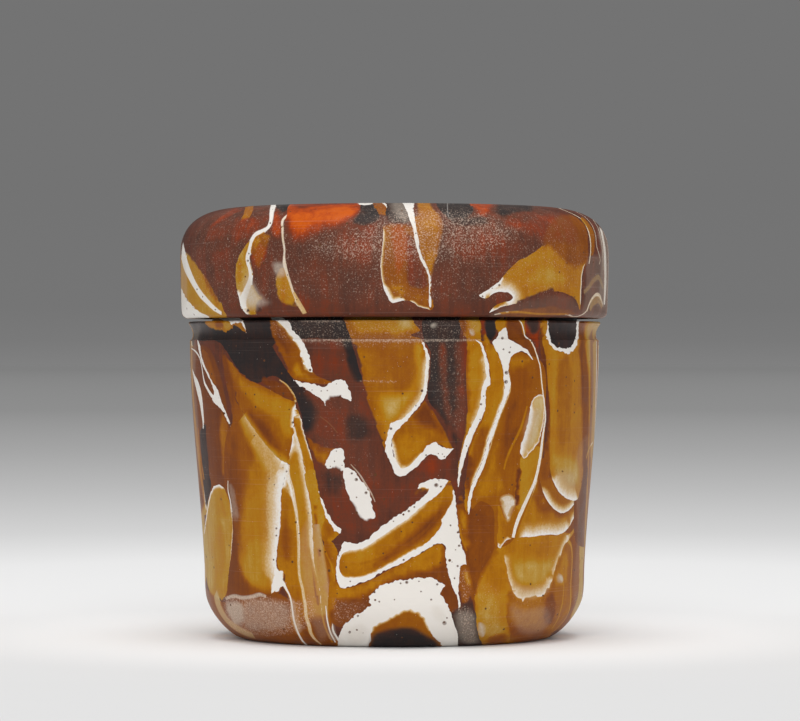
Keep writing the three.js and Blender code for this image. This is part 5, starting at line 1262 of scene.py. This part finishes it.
        (-9.8, 28.9), (-10.3, 29.6), (-10.8, 30.2), (-11.4, 30.9)], fade=[(11, 17, 0.15)]),

    # Wear along the groove and over the rim, with a painted highlight along the groove's edge
    frost_and_sheen(0.7, [(-12, 31.2), (8, 31.3), (8, 29.4), (-12, 29.3)], 0.35),
    frost_and_sheen(0.6, [(3.2, 29), (6.6, 29), (6.6, 19.4), (4.4, 21.6), (3.4, 23.4)], 0.6),
    frost_and_sheen(0.4, [(-8.6, 24), (-3.2, 24.4), (-2, 20), (-1, 15), (-5.4, 13.4), (-8.2, 18)], 1.2),
    Streak([(-9.2, 29.12), (-6, 29.12), (-3.6, 29.1), (-0.6, 29.1), (2.6, 29.1), (5.4, 29.12),
        (8.4, 29.12)], (0.04, 0.06, 0.12, 0.14, 0.14, 0.04, 0.03), 0.2, 1.0, {"haze_and_reflection": 0.12, "frost_and_sheen": 1.2}),
    Streak([(-9.2, 31), (-7, 31), (-5.2, 31)], (0.05, 0.1, 0.05), 0.16, 1.0, {"haze_and_reflection": 0.1, "frost_and_sheen": 1.1}),
    Streak([(-3.5, 25.1), (-1.6, 25.05), (0.2, 25)], (0.05, 0.1, 0.05), 0.16, 0.9, {"frost_and_sheen": 1.0}),
]

# Pits seen from the front, as (right of the axis, up, radius)
BODY_PITS = [
    (-8.1, 24.2, 0.06), (-7.2, 24.1, 0.07), (-5.7, 24.8, 0.06), (-5.4, 23.5, 0.1), (10.6, 29.3, 0.15),
    (10.7, 28.2, 0.1), (11.3, 27.9, 0.12), (11.4, 28.4, 0.07), (11, 25.9, 0.2), (10.95, 25, 0.2),
    (8.5, 22.8, 0.12), (8.75, 23.6, 0.07), (8.4, 21.3, 0.08), (2.1, 22.65, 0.08), (-0.35, 20.4, 0.15),
    (3.1, 17.8, 0.1), (4.3, 17.95, 0.07), (4.7, 17.9, 0.07), (4.9, 17.65, 0.08), (4.1, 14.85, 0.22),
    (4.55, 14.7, 0.1), (1.4, 12.3, 0.13), (1.95, 12.7, 0.1), (-0.1, 11.3, 0.08), (0.9, 7.5, 0.12),
    (-5.45, 7.9, 0.08), (-4.35, 5.4, 0.08), (6.35, 8.9, 0.13), (6, 8.5, 0.06), (6.2, 6.9, 0.12),
    (5.9, 5.7, 0.1), (5.65, 7.3, 0.06), (5.5, 10.9, 0.1), (1.2, 5.3, 0.17), (0.6, 5.2, 0.1),
    (2.4, 5.4, 0.08), (-1.5, 3.4, 0.1), (4.2, 5.1, 0.12), (4.9, 1.3, 0.22), (5.15, 1.8, 0.1),
    (-5.9, 17.2, 0.08), (-5.7, 18.2, 0.06), (-6.3, 16.7, 0.07), (-5.15, 16.8, 0.06), (-3.75, 15.4, 0.18),
    (-4.2, 16, 0.12), (-2.8, 14.1, 0.16), (-10, 21, 0.12), (-10.35, 22.3, 0.08), (-16.75, 21.9, 0.14),
    (-11.6, 10.6, 0.12), (-11.6, 9.9, 0.1), (-9.7, 11.2, 0.12), (-9.35, 10.1, 0.08), (-12.3, 15.5, 0.07),
    (-11.8, 14.9, 0.07), (-10.6, 16.2, 0.1), (-7.3, 8.4, 0.12), (-6.8, 8.3, 0.1), (-10.9, 5.6, 0.1),
    (16.5, 16.2, 0.1), (14.6, 4, 0.12), (16, 28.5, 0.1), (-3.6, 2, 0.12), (-4.4, 0.4, 0.14),
    (2.6, 4.4, 0.09), (3.6, 3.6, 0.11), (0, 3.6, 0.08),
]
LID_PITS = [
    (10.3, 34.5, 0.12), (8.65, 33.4, 0.1), (-12.2, 40.6, 0.1), (-14.3, 37.6, 0.09), (-14.4, 36.9, 0.12),
    (-10.95, 40.3, 0.06), (-10.5, 35.5, 0.07), (-9.6, 33.1, 0.06), (2.1, 39.6, 0.08), (3.2, 36.1, 0.07),
    (3.5, 33.6, 0.08), (16.1, 33.8, 0.07), (12.6, 32.9, 0.06), (17, 33.5, 0.06), (-17.6, 32.1, 0.08),
    (-19.4, 34.1, 0.09), (9.6, 34.2, 0.07),
]


# Glass where the photograph doesn't show it


def leaf(rng, place, centre, height, width, lean, tone):
    """A flake like those of the front, with white along part of its border."""
    turn = np.arange(LEAF_POINTS) * math.tau / LEAF_POINTS
    uneven = (1 + rng.uniform(-0.16, 0.16, LEAF_POINTS)) * (1 + rng.uniform(-0.55, 0.55) * np.cos(turn))
    up = height / 2 * np.cos(turn)
    bend = rng.uniform(-0.45, 0.45) * np.cos(turn) ** 2 + rng.uniform(-0.3, 0.3) * np.cos(turn) ** 3
    across = width / 2 * np.sin(turn) * uneven + bend * width
    x = centre[0] + across * math.cos(lean) + up * math.sin(lean)
    y = centre[1] + up * math.cos(lean) - across * math.sin(lean)
    outline = np.column_stack((x, y)).tolist()
    first = int(rng.integers(LEAF_POINTS))
    run = int(rng.integers(4, 9))
    white = [(first, (first + run) % LEAF_POINTS, rng.uniform(0.1, 0.6), rng.uniform(0.2, 0.9))]
    if rng.random() < 0.4:
        white.append(((first + run + 1) % LEAF_POINTS, (first + run + 4) % LEAF_POINTS, 0.05, 0.5))
    fade = [((first + run) % LEAF_POINTS, first, rng.uniform(0.2, 0.7))]
    return amber(tone, outline, white=white, fade=fade, ragged=0.04, place=place)


def wavy(rng, place, start, end, widths):
    """A streak from one place to another with two gentle bends."""
    start, end = np.array(start), np.array(end)
    ahead = end - start
    sideways = np.array((-ahead[1], ahead[0]))
    share = np.linspace(0, 1, 9)
    swing = rng.uniform(-0.08, 0.08) * np.sin(share * math.pi)
    swing = swing + rng.uniform(-0.05, 0.05) * np.sin(share * math.tau)
    path = start + share[:, None] * ahead + swing[:, None] * sideways
    return Streak(path.tolist(), widths, 0.08, 0.9, place=place)


def round_the_side(rng, low, high, first, last, count):
    """Upright flakes and lines for a stretch of a side, between two lengths along the section."""
    made = []
    spots = np.linspace(first, last, count) + rng.uniform(-1.2, 1.2, count)
    for k, around in enumerate(rng.permutation(spots)):
        dark = rng.uniform(0.1, 1.0)
        centre = (around + 2, rng.uniform(low, high))
        patch = leaf(rng, "wrapped", centre, 9, 5, rng.uniform(-0.4, 0.4), 0.5)
        made.append(ground(dark if k % 3 else -0.5, patch.outline, fade=[(0, 0, 0.8)], place="wrapped"))
    for around in rng.permutation(spots):
        height = rng.uniform(0.35, 0.95) * (high - low)
        middle = rng.uniform(low + 0.2 * height, high - 0.2 * height)
        lean = rng.uniform(-0.42, 0.42)
        tone = rng.choice((0.2, 0.36, 0.5, 0.6, 0.68, 0.76))
        width = min(rng.uniform(3.0, 7.6), 0.8 * height)
        flake = leaf(rng, "wrapped", (around, middle), height, width, lean, tone)
        made.append(flake)
        inner = np.array(flake.outline) * 0.5 + np.array((around, middle)) * 0.5
        made.append(tint(rng.uniform(0.1, 0.85), inner.tolist(), 1.0, place="wrapped"))
        if rng.random() < 0.35:
            made.append(haze_and_reflection(rng.uniform(0.2, 0.5), (inner + (0.8, -1.0)).tolist(), 0.9, place="wrapped"))
    # Ribbons of amber with a white edge
    for around in spots[::3]:
        start = (around + rng.uniform(-2, 2), rng.uniform(low, low + 0.3 * (high - low)))
        end = (around + rng.uniform(-4, 4), rng.uniform(high - 0.3 * (high - low), high))
        wide, widest = rng.uniform(0.9, 2.0), rng.uniform(0.14, 0.45)
        glass = {"cover": 1, "rim": 1, "tone": rng.uniform(0.3, 0.8)}
        line = wavy(rng, "wrapped", start, end, (0.05, widest, widest * 0.6, widest, 0.05))
        painted_light_beside = (np.array(line.path) + (wide / 2, 0)).tolist()
        made.append(Streak(painted_light_beside, (0.1, wide, wide, wide, 0.1), 0.1, 1.0, glass, "wrapped"))
        made.append(line)
    return made


def over_the_borders(rng, low, high, borders, count):
    """Flakes on the two upright borders where the part that the photograph shows comes to an end."""
    made = []
    step = (high - low) / count
    for border in borders:
        for k in range(count):
            centre = (border + rng.uniform(-0.4, 0.4), low + (k + 0.5) * step)
            width, lean = rng.uniform(4.8, 6.0), rng.uniform(-0.2, 0.2)
            flake = leaf(rng, "wrapped", centre, 1.8 * step, width, lean, rng.uniform(0.3, 0.7))
            inner = np.array(flake.outline) * 0.5 + np.array(centre) * 0.5
            made += [flake, tint(rng.uniform(0.15, 0.85), inner.tolist(), 1.0, place="wrapped")]
    return made


def on_the_flat(rng, radius, count):
    """Flakes and lines for the flat round a pole."""
    made = []
    for k in range(count):
        turn, away = rng.uniform(0, math.tau), radius * math.sqrt(rng.uniform(0.02, 0.85))
        centre = (away * math.sin(turn), -away * math.cos(turn))
        tone = rng.choice((0.2, 0.36, 0.5, 0.6, 0.68, 0.76))
        height, width, lean = rng.uniform(5, 13), rng.uniform(2.4, 5.4), rng.uniform(-0.8, 0.8)
        flake = leaf(rng, "on_disc", centre, height, width, lean, tone)
        if k % 3 == 2:
            made.append(ground(rng.choice((-0.8, 0.9)), flake.outline, fade=[(0, 0, 0.6)], place="on_disc"))
        else:
            made.append(flake)
            inner = np.array(flake.outline) * 0.5 + np.array(centre) * 0.5
            made.append(tint(rng.uniform(0.15, 0.85), inner.tolist(), 0.6, place="on_disc"))
    for k in range(count // 5):
        turn = k * math.tau * 5 / count + rng.uniform(-0.3, 0.3)
        reach = radius * rng.uniform(0.6, 0.95)
        away = turn + rng.uniform(0.9, 1.7)
        start = (reach * math.sin(turn), reach * math.cos(turn))
        end = (reach * math.sin(away), reach * math.cos(away))
        widest = rng.uniform(0.15, 0.5)
        made.append(wavy(rng, "on_disc", start, end, (0.05, widest, widest * 0.5, widest, 0.05)))
    return made


# From sheets to pieces


def whole_fade(shape):
    return any(run[:2] == (0, 0) and run[2] >= SOFT_ENOUGH for run in shape.fade)


def weave(sheet, shapes, pits, base, seed):
    """Triangulates a sheet with its shapes and paints them. Gives a painter."""
    rng = np.random.default_rng(seed)
    cloth = Cloth(sheet)
    jobs = []
    for shape in shapes:
        if isinstance(shape, Streak):
            core, edge = band(sheet, shape)
            cloth.add(core, True)
            cloth.add(edge, True)
            jobs.append((shape, core, edge))
            continue
        polygon, along = lay(sheet, shape, shape.outline, True)
        if shape.ragged:
            polygon = roughened(sheet, polygon, shape.ragged, rng)
        if not whole_fade(shape):
            cloth.add(polygon, True)
        jobs.append((shape, polygon, along))
    holes = []
    for x, z, radius in pits:
        turn = np.arange(PIT_POINTS) * math.tau / PIT_POINTS
        for size in (radius, radius / 2):
            ring = np.column_stack((x + size * np.sin(turn), z + size * np.cos(turn)))
            holes.append(sheet.flat(*sheet.seen(ring)))
            cloth.add(holes[-1], True)
    for s in sheet.corners:
        cloth.add(ring_points(sheet, s), True)
    cloth.add(ring_points(sheet, sheet.length, count=SEAM_POINTS), True)
    painter = Painter(sheet, *cloth.cut(), base)
    for shape, first, second in jobs:
        if isinstance(shape, Streak):
            painter.draw(shape, first, second)
        else:
            painter.fill(shape, first, second)
    for outer, inner, (_, _, radius) in zip(holes[::2], holes[1::2], pits):
        painter.sink(outer, inner, min(PIT_DEPTH * radius, DEEPEST_PIT))
    return painter


def assemble(name, node, sheets, material):
    """One mesh out of painted sheets, joined where they meet."""
    places, faces, values, count = [], [], [], 0
    for painter in sheets:
        order = slice(None, None, painter.sheet.facing)
        places.append(painter.solid)
        faces.append(painter.faces[:, order] + count)
        values.append(painter.values[:, order])
        count += len(painter.solid)
    places, faces, values = np.vstack(places), np.vstack(faces), np.vstack(values)
    _, first, same = np.unique(np.round(places, 3), axis=0, return_index=True, return_inverse=True)
    faces = same.reshape(-1)[faces]
    real = (faces != np.roll(faces, 1, axis=1)).all(axis=1)
    faces, values = faces[real], values[real]
    mesh = bpy.data.meshes.new(name)
    mesh.from_pydata((places[first] * MM).tolist(), [], faces.tolist())
    for label, channels in (("glass", values[..., :3]), ("ground", values[..., 3:6])):
        layer = mesh.attributes.new(label, "FLOAT_VECTOR", "CORNER")
        layer.data.foreach_set("vector", channels.reshape(-1).astype(np.float32))
    layer = mesh.attributes.new("frost_and_sheen", "FLOAT", "CORNER")
    layer.data.foreach_set("value", values[..., 6].reshape(-1).astype(np.float32))
    mesh.shade_smooth()
    mesh.set_sharp_from_angle(angle=SHARP_TURN)
    mesh.materials.append(material)
    piece = bpy.data.objects.new(name, mesh)
    bpy.context.scene.collection.objects.link(piece)
    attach(piece, node)
    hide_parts(node)


# The glass


def srgb(*levels):
    """A colour written as on a screen, 0 to 255, as the shader wants it."""
    shares = [v / 255 for v in levels]
    return tuple(s / 12.92 if s <= 0.04045 else ((s + 0.055) / 1.055) ** 2.4 for s in shares) + (1.0,)


class Wires:
    """Nodes of one material or world, made and joined in one go."""

    def __init__(self, owner):
        owner.use_nodes = True
        self.owner = owner
        self.tree = owner.node_tree

    def put(self, socket, value):
        if isinstance(value, bpy.types.NodeSocket):
            self.tree.links.new(value, socket)
        elif value is not None:
            socket.default_value = value

    def node(self, kind, inputs=(), **settings):
        node = self.tree.nodes.new(kind)
        for name, value in settings.items():
            setattr(node, name, value)
        for key, value in dict(inputs).items():
            self.put(node.inputs[key], value)
        return node

    def sum(self, operation, a, b=None, c=None, clamp=False):
        node = self.node("ShaderNodeMath", operation=operation, use_clamp=clamp)
        for socket, value in zip(node.inputs, (a, b, c)):
            self.put(socket, value)
        return node.outputs[0]

    def scaled(self, value, low, high, new_low=0.0, new_high=1.0):
        inputs = {0: value, 1: low, 2: high, 3: new_low, 4: new_high}
        return self.node("ShaderNodeMapRange", inputs, interpolation_type="SMOOTHSTEP").outputs[0]

    def noise(self, place, scale, detail=2.0, rough=0.5, distortion=0.0):
        inputs = {"Vector": place, "Scale": scale, "Detail": detail, "Roughness": rough}
        inputs["Distortion"] = distortion
        return self.node("ShaderNodeTexNoise", inputs).outputs["Fac"]

    def stretched(self, place, x, y, z):
        return self.node("ShaderNodeMapping", {"Vector": place, "Scale": (x, y, z)}).outputs[0]

    def mix(self, share, a, b):
        node = self.node("ShaderNodeMix", data_type="RGBA")
        self.put(node.inputs[0], share)
        self.put(node.inputs[6], a)
        self.put(node.inputs[7], b)
        return node.outputs[2]

    def ramp(self, value, stops):
        node = self.node("ShaderNodeValToRGB", {"Fac": value})
        bar = node.color_ramp.elements
        while len(bar) < len(stops):
            bar.new(0.5)
        for element, (position, colour) in zip(bar, stops):
            element.position = position
            element.color = srgb(*colour)
        return node.outputs["Color"]

    def cells(self, place, scale):
        """Distance from scattered points and their random colours."""
        inputs = {"Vector": place, "Scale": scale, "Randomness": 1.0}
        cells = self.node("ShaderNodeTexVoronoi", inputs).outputs
        return cells["Distance"], self.node("ShaderNodeSeparateColor", {0: cells["Color"]}).outputs

    def channels(self, label):
        vector = self.node("ShaderNodeAttribute", attribute_name=label).outputs["Vector"]
        return self.node("ShaderNodeSeparateXYZ", {"Vector": vector}).outputs


AMBERS = (
    (0.0, (98, 46, 20)), (0.2, (122, 62, 14)), (0.35, (142, 76, 4)), (0.5, (156, 92, 0)),
    (0.62, (174, 112, 0)), (0.76, (178, 128, 22)), (0.88, (186, 148, 68)), (1.0, (204, 178, 126)),
)
GROUNDS = (
    (0.0, (198, 86, 0)), (0.12, (178, 68, 0)), (0.24, (148, 54, 6)), (0.36, (122, 50, 24)),
    (0.5, (102, 53, 36)), (0.75, (66, 43, 36)), (1.0, (44, 38, 38)),
)
BORDERS = (
    (0.0, (234, 229, 222)), (0.16, (226, 210, 190)), (0.36, (210, 180, 134)), (0.65, (194, 146, 66)),
    (1.0, (178, 120, 18)),
)
MIST_AND_REFLECTION = (200, 188, 172)
FROST_AND_SHEEN = (226, 200, 180)
PIT_SHADE = (96, 60, 36)
GLINT_SPECK = (214, 204, 196)
POLISH = (206, 190, 180)
GLASS_IOR = 1.5
SHINE = 0.12  # weathered glass mirrors little


def mosaic(name, wear_and_glints):
    """Mosaic glass. wear is how dull and scratched it has become, 0 to 1, and it also sets how strong the
    painted glints are.
    """
    w = Wires(bpy.data.materials.new(name))
    shader = w.tree.nodes["Principled BSDF"]
    place = w.node("ShaderNodeTexCoord").outputs["Object"]
    place = w.node("ShaderNodeVectorMath", {0: place, "Scale": 1 / MM}, operation="SCALE").outputs[0]
    cover, rim, tone = w.channels("glass")
    matrix, haze_and_reflection_amount, pit = w.channels("ground")

    # Uneven glass: broad clouds, upright streaks in the amber, fine grain
    broad = w.noise(place, 0.35, 3.0, 0.55, 0.6)
    upright = w.noise(w.stretched(place, 1.6, 1.6, 0.16), 1.0, 3.0, 0.6, 0.5)
    grain = w.noise(place, 5.0, 3.0, 0.65)
    polish = w.noise(w.stretched(place, 0.06, 0.06, 9.0), 1.0, 2.0, 0.6)

    tone = w.sum("ADD", tone, w.scaled(upright, 0.3, 0.7, -0.04, 0.04))
    tone = w.sum("ADD", tone, w.scaled(broad, 0.3, 0.7, -0.06, 0.06))
    tone = w.sum("ADD", tone, w.scaled(grain, 0.25, 0.75, -0.03, 0.03), clamp=True)
    amber_glass = w.ramp(tone, AMBERS)
    rim = w.sum("ADD", rim, w.scaled(grain, 0.3, 0.7, -0.07, 0.07))
    rim = w.sum("ADD", rim, w.scaled(upright, 0.3, 0.7, -0.05, 0.05))
    border = w.ramp(w.sum("MAXIMUM", rim, 0.0), BORDERS)
    flake = w.mix(w.scaled(rim, 0.35, 1.05), border, amber_glass)

    matrix = w.sum("ADD", matrix, w.scaled(broad, 0.3, 0.7, -0.1, 0.16))
    matrix = w.sum("ADD", matrix, w.scaled(upright, 0.3, 0.7, -0.1, 0.14))
    matrix = w.sum("ADD", matrix, w.scaled(grain, 0.3, 0.7, -0.06, 0.06))
    base = w.ramp(w.sum("MULTIPLY_ADD", matrix, 0.5, 0.5, clamp=True), GROUNDS)

    colour = w.mix(w.scaled(cover, 0.25, 0.75), base, flake)
    # A pale milky veil: weathering in some places, and painted reflection and sheen where the sides turn
    # away and on the lid's crown
    mist_and_reflection = w.sum("MULTIPLY", haze_and_reflection_amount, w.scaled(grain, 0.25, 0.7, 0.7, 1.0))
    colour = w.mix(mist_and_reflection, colour, srgb(*MIST_AND_REFLECTION))

    # Frosted wear with a painted sheen: a thin veil with fine pale grains in it, denser where there is more
    # of it; on the lid's crown the grains stand in for glints of the lamps' highlight
    frost_and_sheen_amount = w.node("ShaderNodeAttribute", attribute_name="frost_and_sheen").outputs["Fac"]
    fine = w.noise(place, 7.0, 1.5, 0.7)
    start = w.sum("MULTIPLY_ADD", frost_and_sheen_amount, -0.3, 0.74)
    frost_and_sheen_grains = w.scaled(fine, start, w.sum("ADD", start, 0.28))
    frost_and_sheen_veil = w.sum("MULTIPLY_ADD", frost_and_sheen_grains, 0.5, w.sum("MULTIPLY", frost_and_sheen_amount, 0.02))
    colour = w.mix(frost_and_sheen_veil, colour, srgb(*FROST_AND_SHEEN))

    # Wear: pits with painted shade in them, pale specks that are painted glints where the worn glass
    # catches the light, and fine lines from polishing on the wheel
    away, chance = w.cells(place, 1.15)
    size = w.sum("MULTIPLY_ADD", chance[0], 0.3, -0.14)
    bite = w.scaled(w.sum("SUBTRACT", size, away), -0.03, 0.03)
    pits = w.sum("MAXIMUM", w.sum("MULTIPLY", pit, 0.9), bite)
    colour = w.mix(pits, colour, srgb(*PIT_SHADE))
    away, chance = w.cells(place, 3.6)
    reach = w.sum("MULTIPLY_ADD", chance[1], 0.42, -0.3)
    glint_speck = w.scaled(w.sum("SUBTRACT", reach, away), -0.03, 0.04)
    colour = w.mix(w.sum("MULTIPLY", glint_speck, 0.55 + 0.4 * wear_and_glints), colour, srgb(*GLINT_SPECK))
    lines = w.scaled(polish, 0.62, 0.75)
    colour = w.mix(w.sum("MULTIPLY", lines, 0.1), colour, srgb(*POLISH))

    w.put(shader.inputs["Base Color"], colour)
    dull = w.sum("MULTIPLY_ADD", w.scaled(broad, 0.3, 0.7), 0.12, 0.3 + 0.14 * wear_and_glints)
    w.put(shader.inputs["Roughness"], w.sum("ADD", dull, w.sum("MULTIPLY", mist_and_reflection, 0.15)))
    w.put(shader.inputs["IOR"], GLASS_IOR)
    w.put(shader.inputs["Specular IOR Level"], SHINE)
    relief = w.sum("MULTIPLY_ADD", grain, 0.4, w.sum("MULTIPLY", polish, 0.5))
    relief = w.sum("SUBTRACT", relief, w.sum("MULTIPLY", bite, 2.0))
    relief = w.sum("MULTIPLY_ADD", frost_and_sheen_grains, 0.3, relief)
    bump = w.node("ShaderNodeBump", {"Height": relief, "Strength": 0.25, "Distance": 0.08 * MM})
    w.put(shader.inputs["Normal"], bump.outputs[0])
    return w.owner


# Floor and light

FLOOR_SIZE = 12.0  # metres
FLOOR_CENTRE = (0.0, 90 * MM, 0.0)  # painted light: the floor is palest here, as under a pool of light, and darkens away from it
FLOOR_SHADES = (  # millimetres away, grey level
    (0, 235), (66, 233), (100, 226), (154, 216), (349, 203), (706, 188), (1600, 166), (7744, 150),
)
# Sine of the height angle, grey level
BACKDROP_SHADES = ((-0.002, 128), (0.004, 121), (0.012, 117), (0.04, 115))
AROUND = (0.7, 0.7, 0.7, 1.0)
PAINTED_LIGHT_BESIDE = (22 * MM, 52 * MM)  # painted light: the floor is paler still this near the object, lifting its shade round the foot, fading out to this far
PAINTED_LIGHT_BESIDE_GREY = 250
PAINTED_LIGHT_BESIDE_SHARE = 0.65
FLOOR_POINTS = 96
FLOOR_DULLNESS = 0.9


def grey(level):
    return (level, level, level)


def make_floor():
    bpy.ops.mesh.primitive_circle_add(vertices=FLOOR_POINTS, radius=FLOOR_SIZE, fill_type="NGON")
    floor = bpy.context.object
    floor.name = "floor"
    w = Wires(bpy.data.materials.new("floor"))
    shader = w.tree.nodes["Principled BSDF"]
    place = w.node("ShaderNodeTexCoord").outputs["Object"]
    between = {0: place, 1: FLOOR_CENTRE}
    away = w.node("ShaderNodeVectorMath", between, operation="DISTANCE").outputs["Value"]
    far = FLOOR_SHADES[-1][0] * MM
    share = w.sum("POWER", w.sum("DIVIDE", away, far, clamp=True), 0.5)
    shades = w.ramp(share, [((d * MM / far) ** 0.5, grey(v)) for d, v in FLOOR_SHADES])
    from_axis = w.node("ShaderNodeVectorMath", {0: place}, operation="LENGTH").outputs["Value"]
    # Painted light: the floor is paler near the object's foot, where its shade would fall
    painted_light_beside = w.scaled(from_axis, *PAINTED_LIGHT_BESIDE, PAINTED_LIGHT_BESIDE_SHARE, 0.0)
    w.put(shader.inputs["Base Color"], w.mix(painted_light_beside, shades, srgb(*grey(PAINTED_LIGHT_BESIDE_GREY))))
    w.put(shader.inputs["Roughness"], FLOOR_DULLNESS)
    w.put(shader.inputs["Specular IOR Level"], 0.0)
    floor.data.materials.append(w.owner)


def make_world():
    world = bpy.data.worlds.new("studio")
    bpy.context.scene.world = world
    w = Wires(world)
    room = w.tree.nodes["Background"]
    w.put(room.inputs["Color"], AROUND)
    direction = w.node("ShaderNodeTexCoord").outputs["Generated"]
    rise = w.node("ShaderNodeSeparateXYZ", {"Vector": direction}).outputs["Z"]
    low, high = BACKDROP_SHADES[0][0], BACKDROP_SHADES[-1][0]
    share = w.sum("DIVIDE", w.sum("SUBTRACT", rise, low), high - low, clamp=True)
    shades = w.ramp(share, [((z - low) / (high - low), grey(v)) for z, v in BACKDROP_SHADES])
    backdrop = w.node("ShaderNodeBackground", {"Color": shades})
    path = w.node("ShaderNodeLightPath").outputs
    seen = w.sum("MAXIMUM", path["Is Camera Ray"], path["Is Glossy Ray"])
    mix = w.node("ShaderNodeMixShader", {0: seen, 1: room.outputs[0], 2: backdrop.outputs[0]})
    w.put(w.tree.nodes["World Output"].inputs["Surface"], mix.outputs[0])


def make_softbox(name, place, size, energy):
    """A square light at a place in metres, turned towards the origin."""
    data = bpy.data.lights.new(name, "AREA")
    data.size = size
    data.energy = energy
    lamp = bpy.data.objects.new(name, data)
    lamp.location = place
    lamp.rotation_euler = (-lamp.location).to_track_quat("-Z", "Y").to_euler()
    bpy.context.scene.collection.objects.link(lamp)


# The object

BODY_SEEDS = (41, 42)  # for the flakes made by chance, outside and inside
LID_SEEDS = (51, 52)
PLAIN = {"cover": 0, "rim": 3, "tone": 0.5, "matrix": 0, "haze_and_reflection": 0, "pit": 0, "frost_and_sheen": 0}


def split(node, lowest):
    """The CAD node's section in two, from each pole to the ring where outside and inside meet."""
    points = column(node)
    level = points[:, 1].min() if lowest else points[:, 1].max()
    at = min(np.flatnonzero(abs(points[:, 1] - level) < 1e-3), key=lambda i: points[i, 0])
    return points[: at + 1], points[at:][::-1]


def make_body():
    outer, inner = split(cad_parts["body"], lowest=False)
    outside, inside_sheet = Sheet(outer, OUTSIDE_STEP, -1), Sheet(inner, INSIDE_STEP, 1)
    rng = np.random.default_rng(BODY_SEEDS[0])
    heel, rim = 15.0, 47.0
    shapes = on_the_flat(rng, radius=14.0, count=18)
    shapes += round_the_side(rng, heel, rim, first=31.5, last=95.4, count=28)
    shapes += BODY_FRONT
    shapes += over_the_borders(rng, heel, rim, (32.2, 94.0), count=4)
    painter = weave(outside, shapes, BODY_PITS, PLAIN, seed=7)
    rng = np.random.default_rng(BODY_SEEDS[1])
    lining = on_the_flat(rng, radius=11.0, count=12)
    lining += round_the_side(rng, 12.0, inside_sheet.length - 2, first=0.0, last=96.0, count=20)
    inner_painter = weave(inside_sheet, lining, (), PLAIN, seed=8)
    assemble("body_glass", "body", [painter, inner_painter], mosaic("body_glass", wear_and_glints=0.3))


def make_lid():
    outer, inner = split(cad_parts["lid"], lowest=True)
    outside, inside_sheet = Sheet(outer, OUTSIDE_STEP, 1), Sheet(inner, INSIDE_STEP, -1)
    rng = np.random.default_rng(LID_SEEDS[0])
    shapes = on_the_flat(rng, radius=15.0, count=30)
    shapes += round_the_side(rng, 17.0, 30.0, first=33.5, last=99.0, count=22)
    shapes += LID_FRONT
    shapes += over_the_borders(rng, 17.5, 30.5, (33.8, 98.3), count=2)
    painter = weave(outside, shapes, LID_PITS, PLAIN | {"matrix": 0.02}, seed=9)
    rng = np.random.default_rng(LID_SEEDS[1])
    lining = on_the_flat(rng, radius=15.0, count=14)
    lining += round_the_side(rng, 16.0, inside_sheet.length - 2, first=0.0, last=112.0, count=16)
    inner_painter = weave(inside_sheet, lining, (), PLAIN, seed=10)
    assemble("lid_glass", "lid", [painter, inner_painter], mosaic("lid_glass", wear_and_glints=0.6))


bpy.context.scene.view_settings.view_transform = "Standard"
make_camera()
make_body()
make_lid()
make_floor()
make_world()
make_softbox("overhead", (0.0, -0.06, 0.55), size=0.3, energy=0.9)
make_softbox("front", (0.0, -0.5, 0.38), size=0.35, energy=1.0)
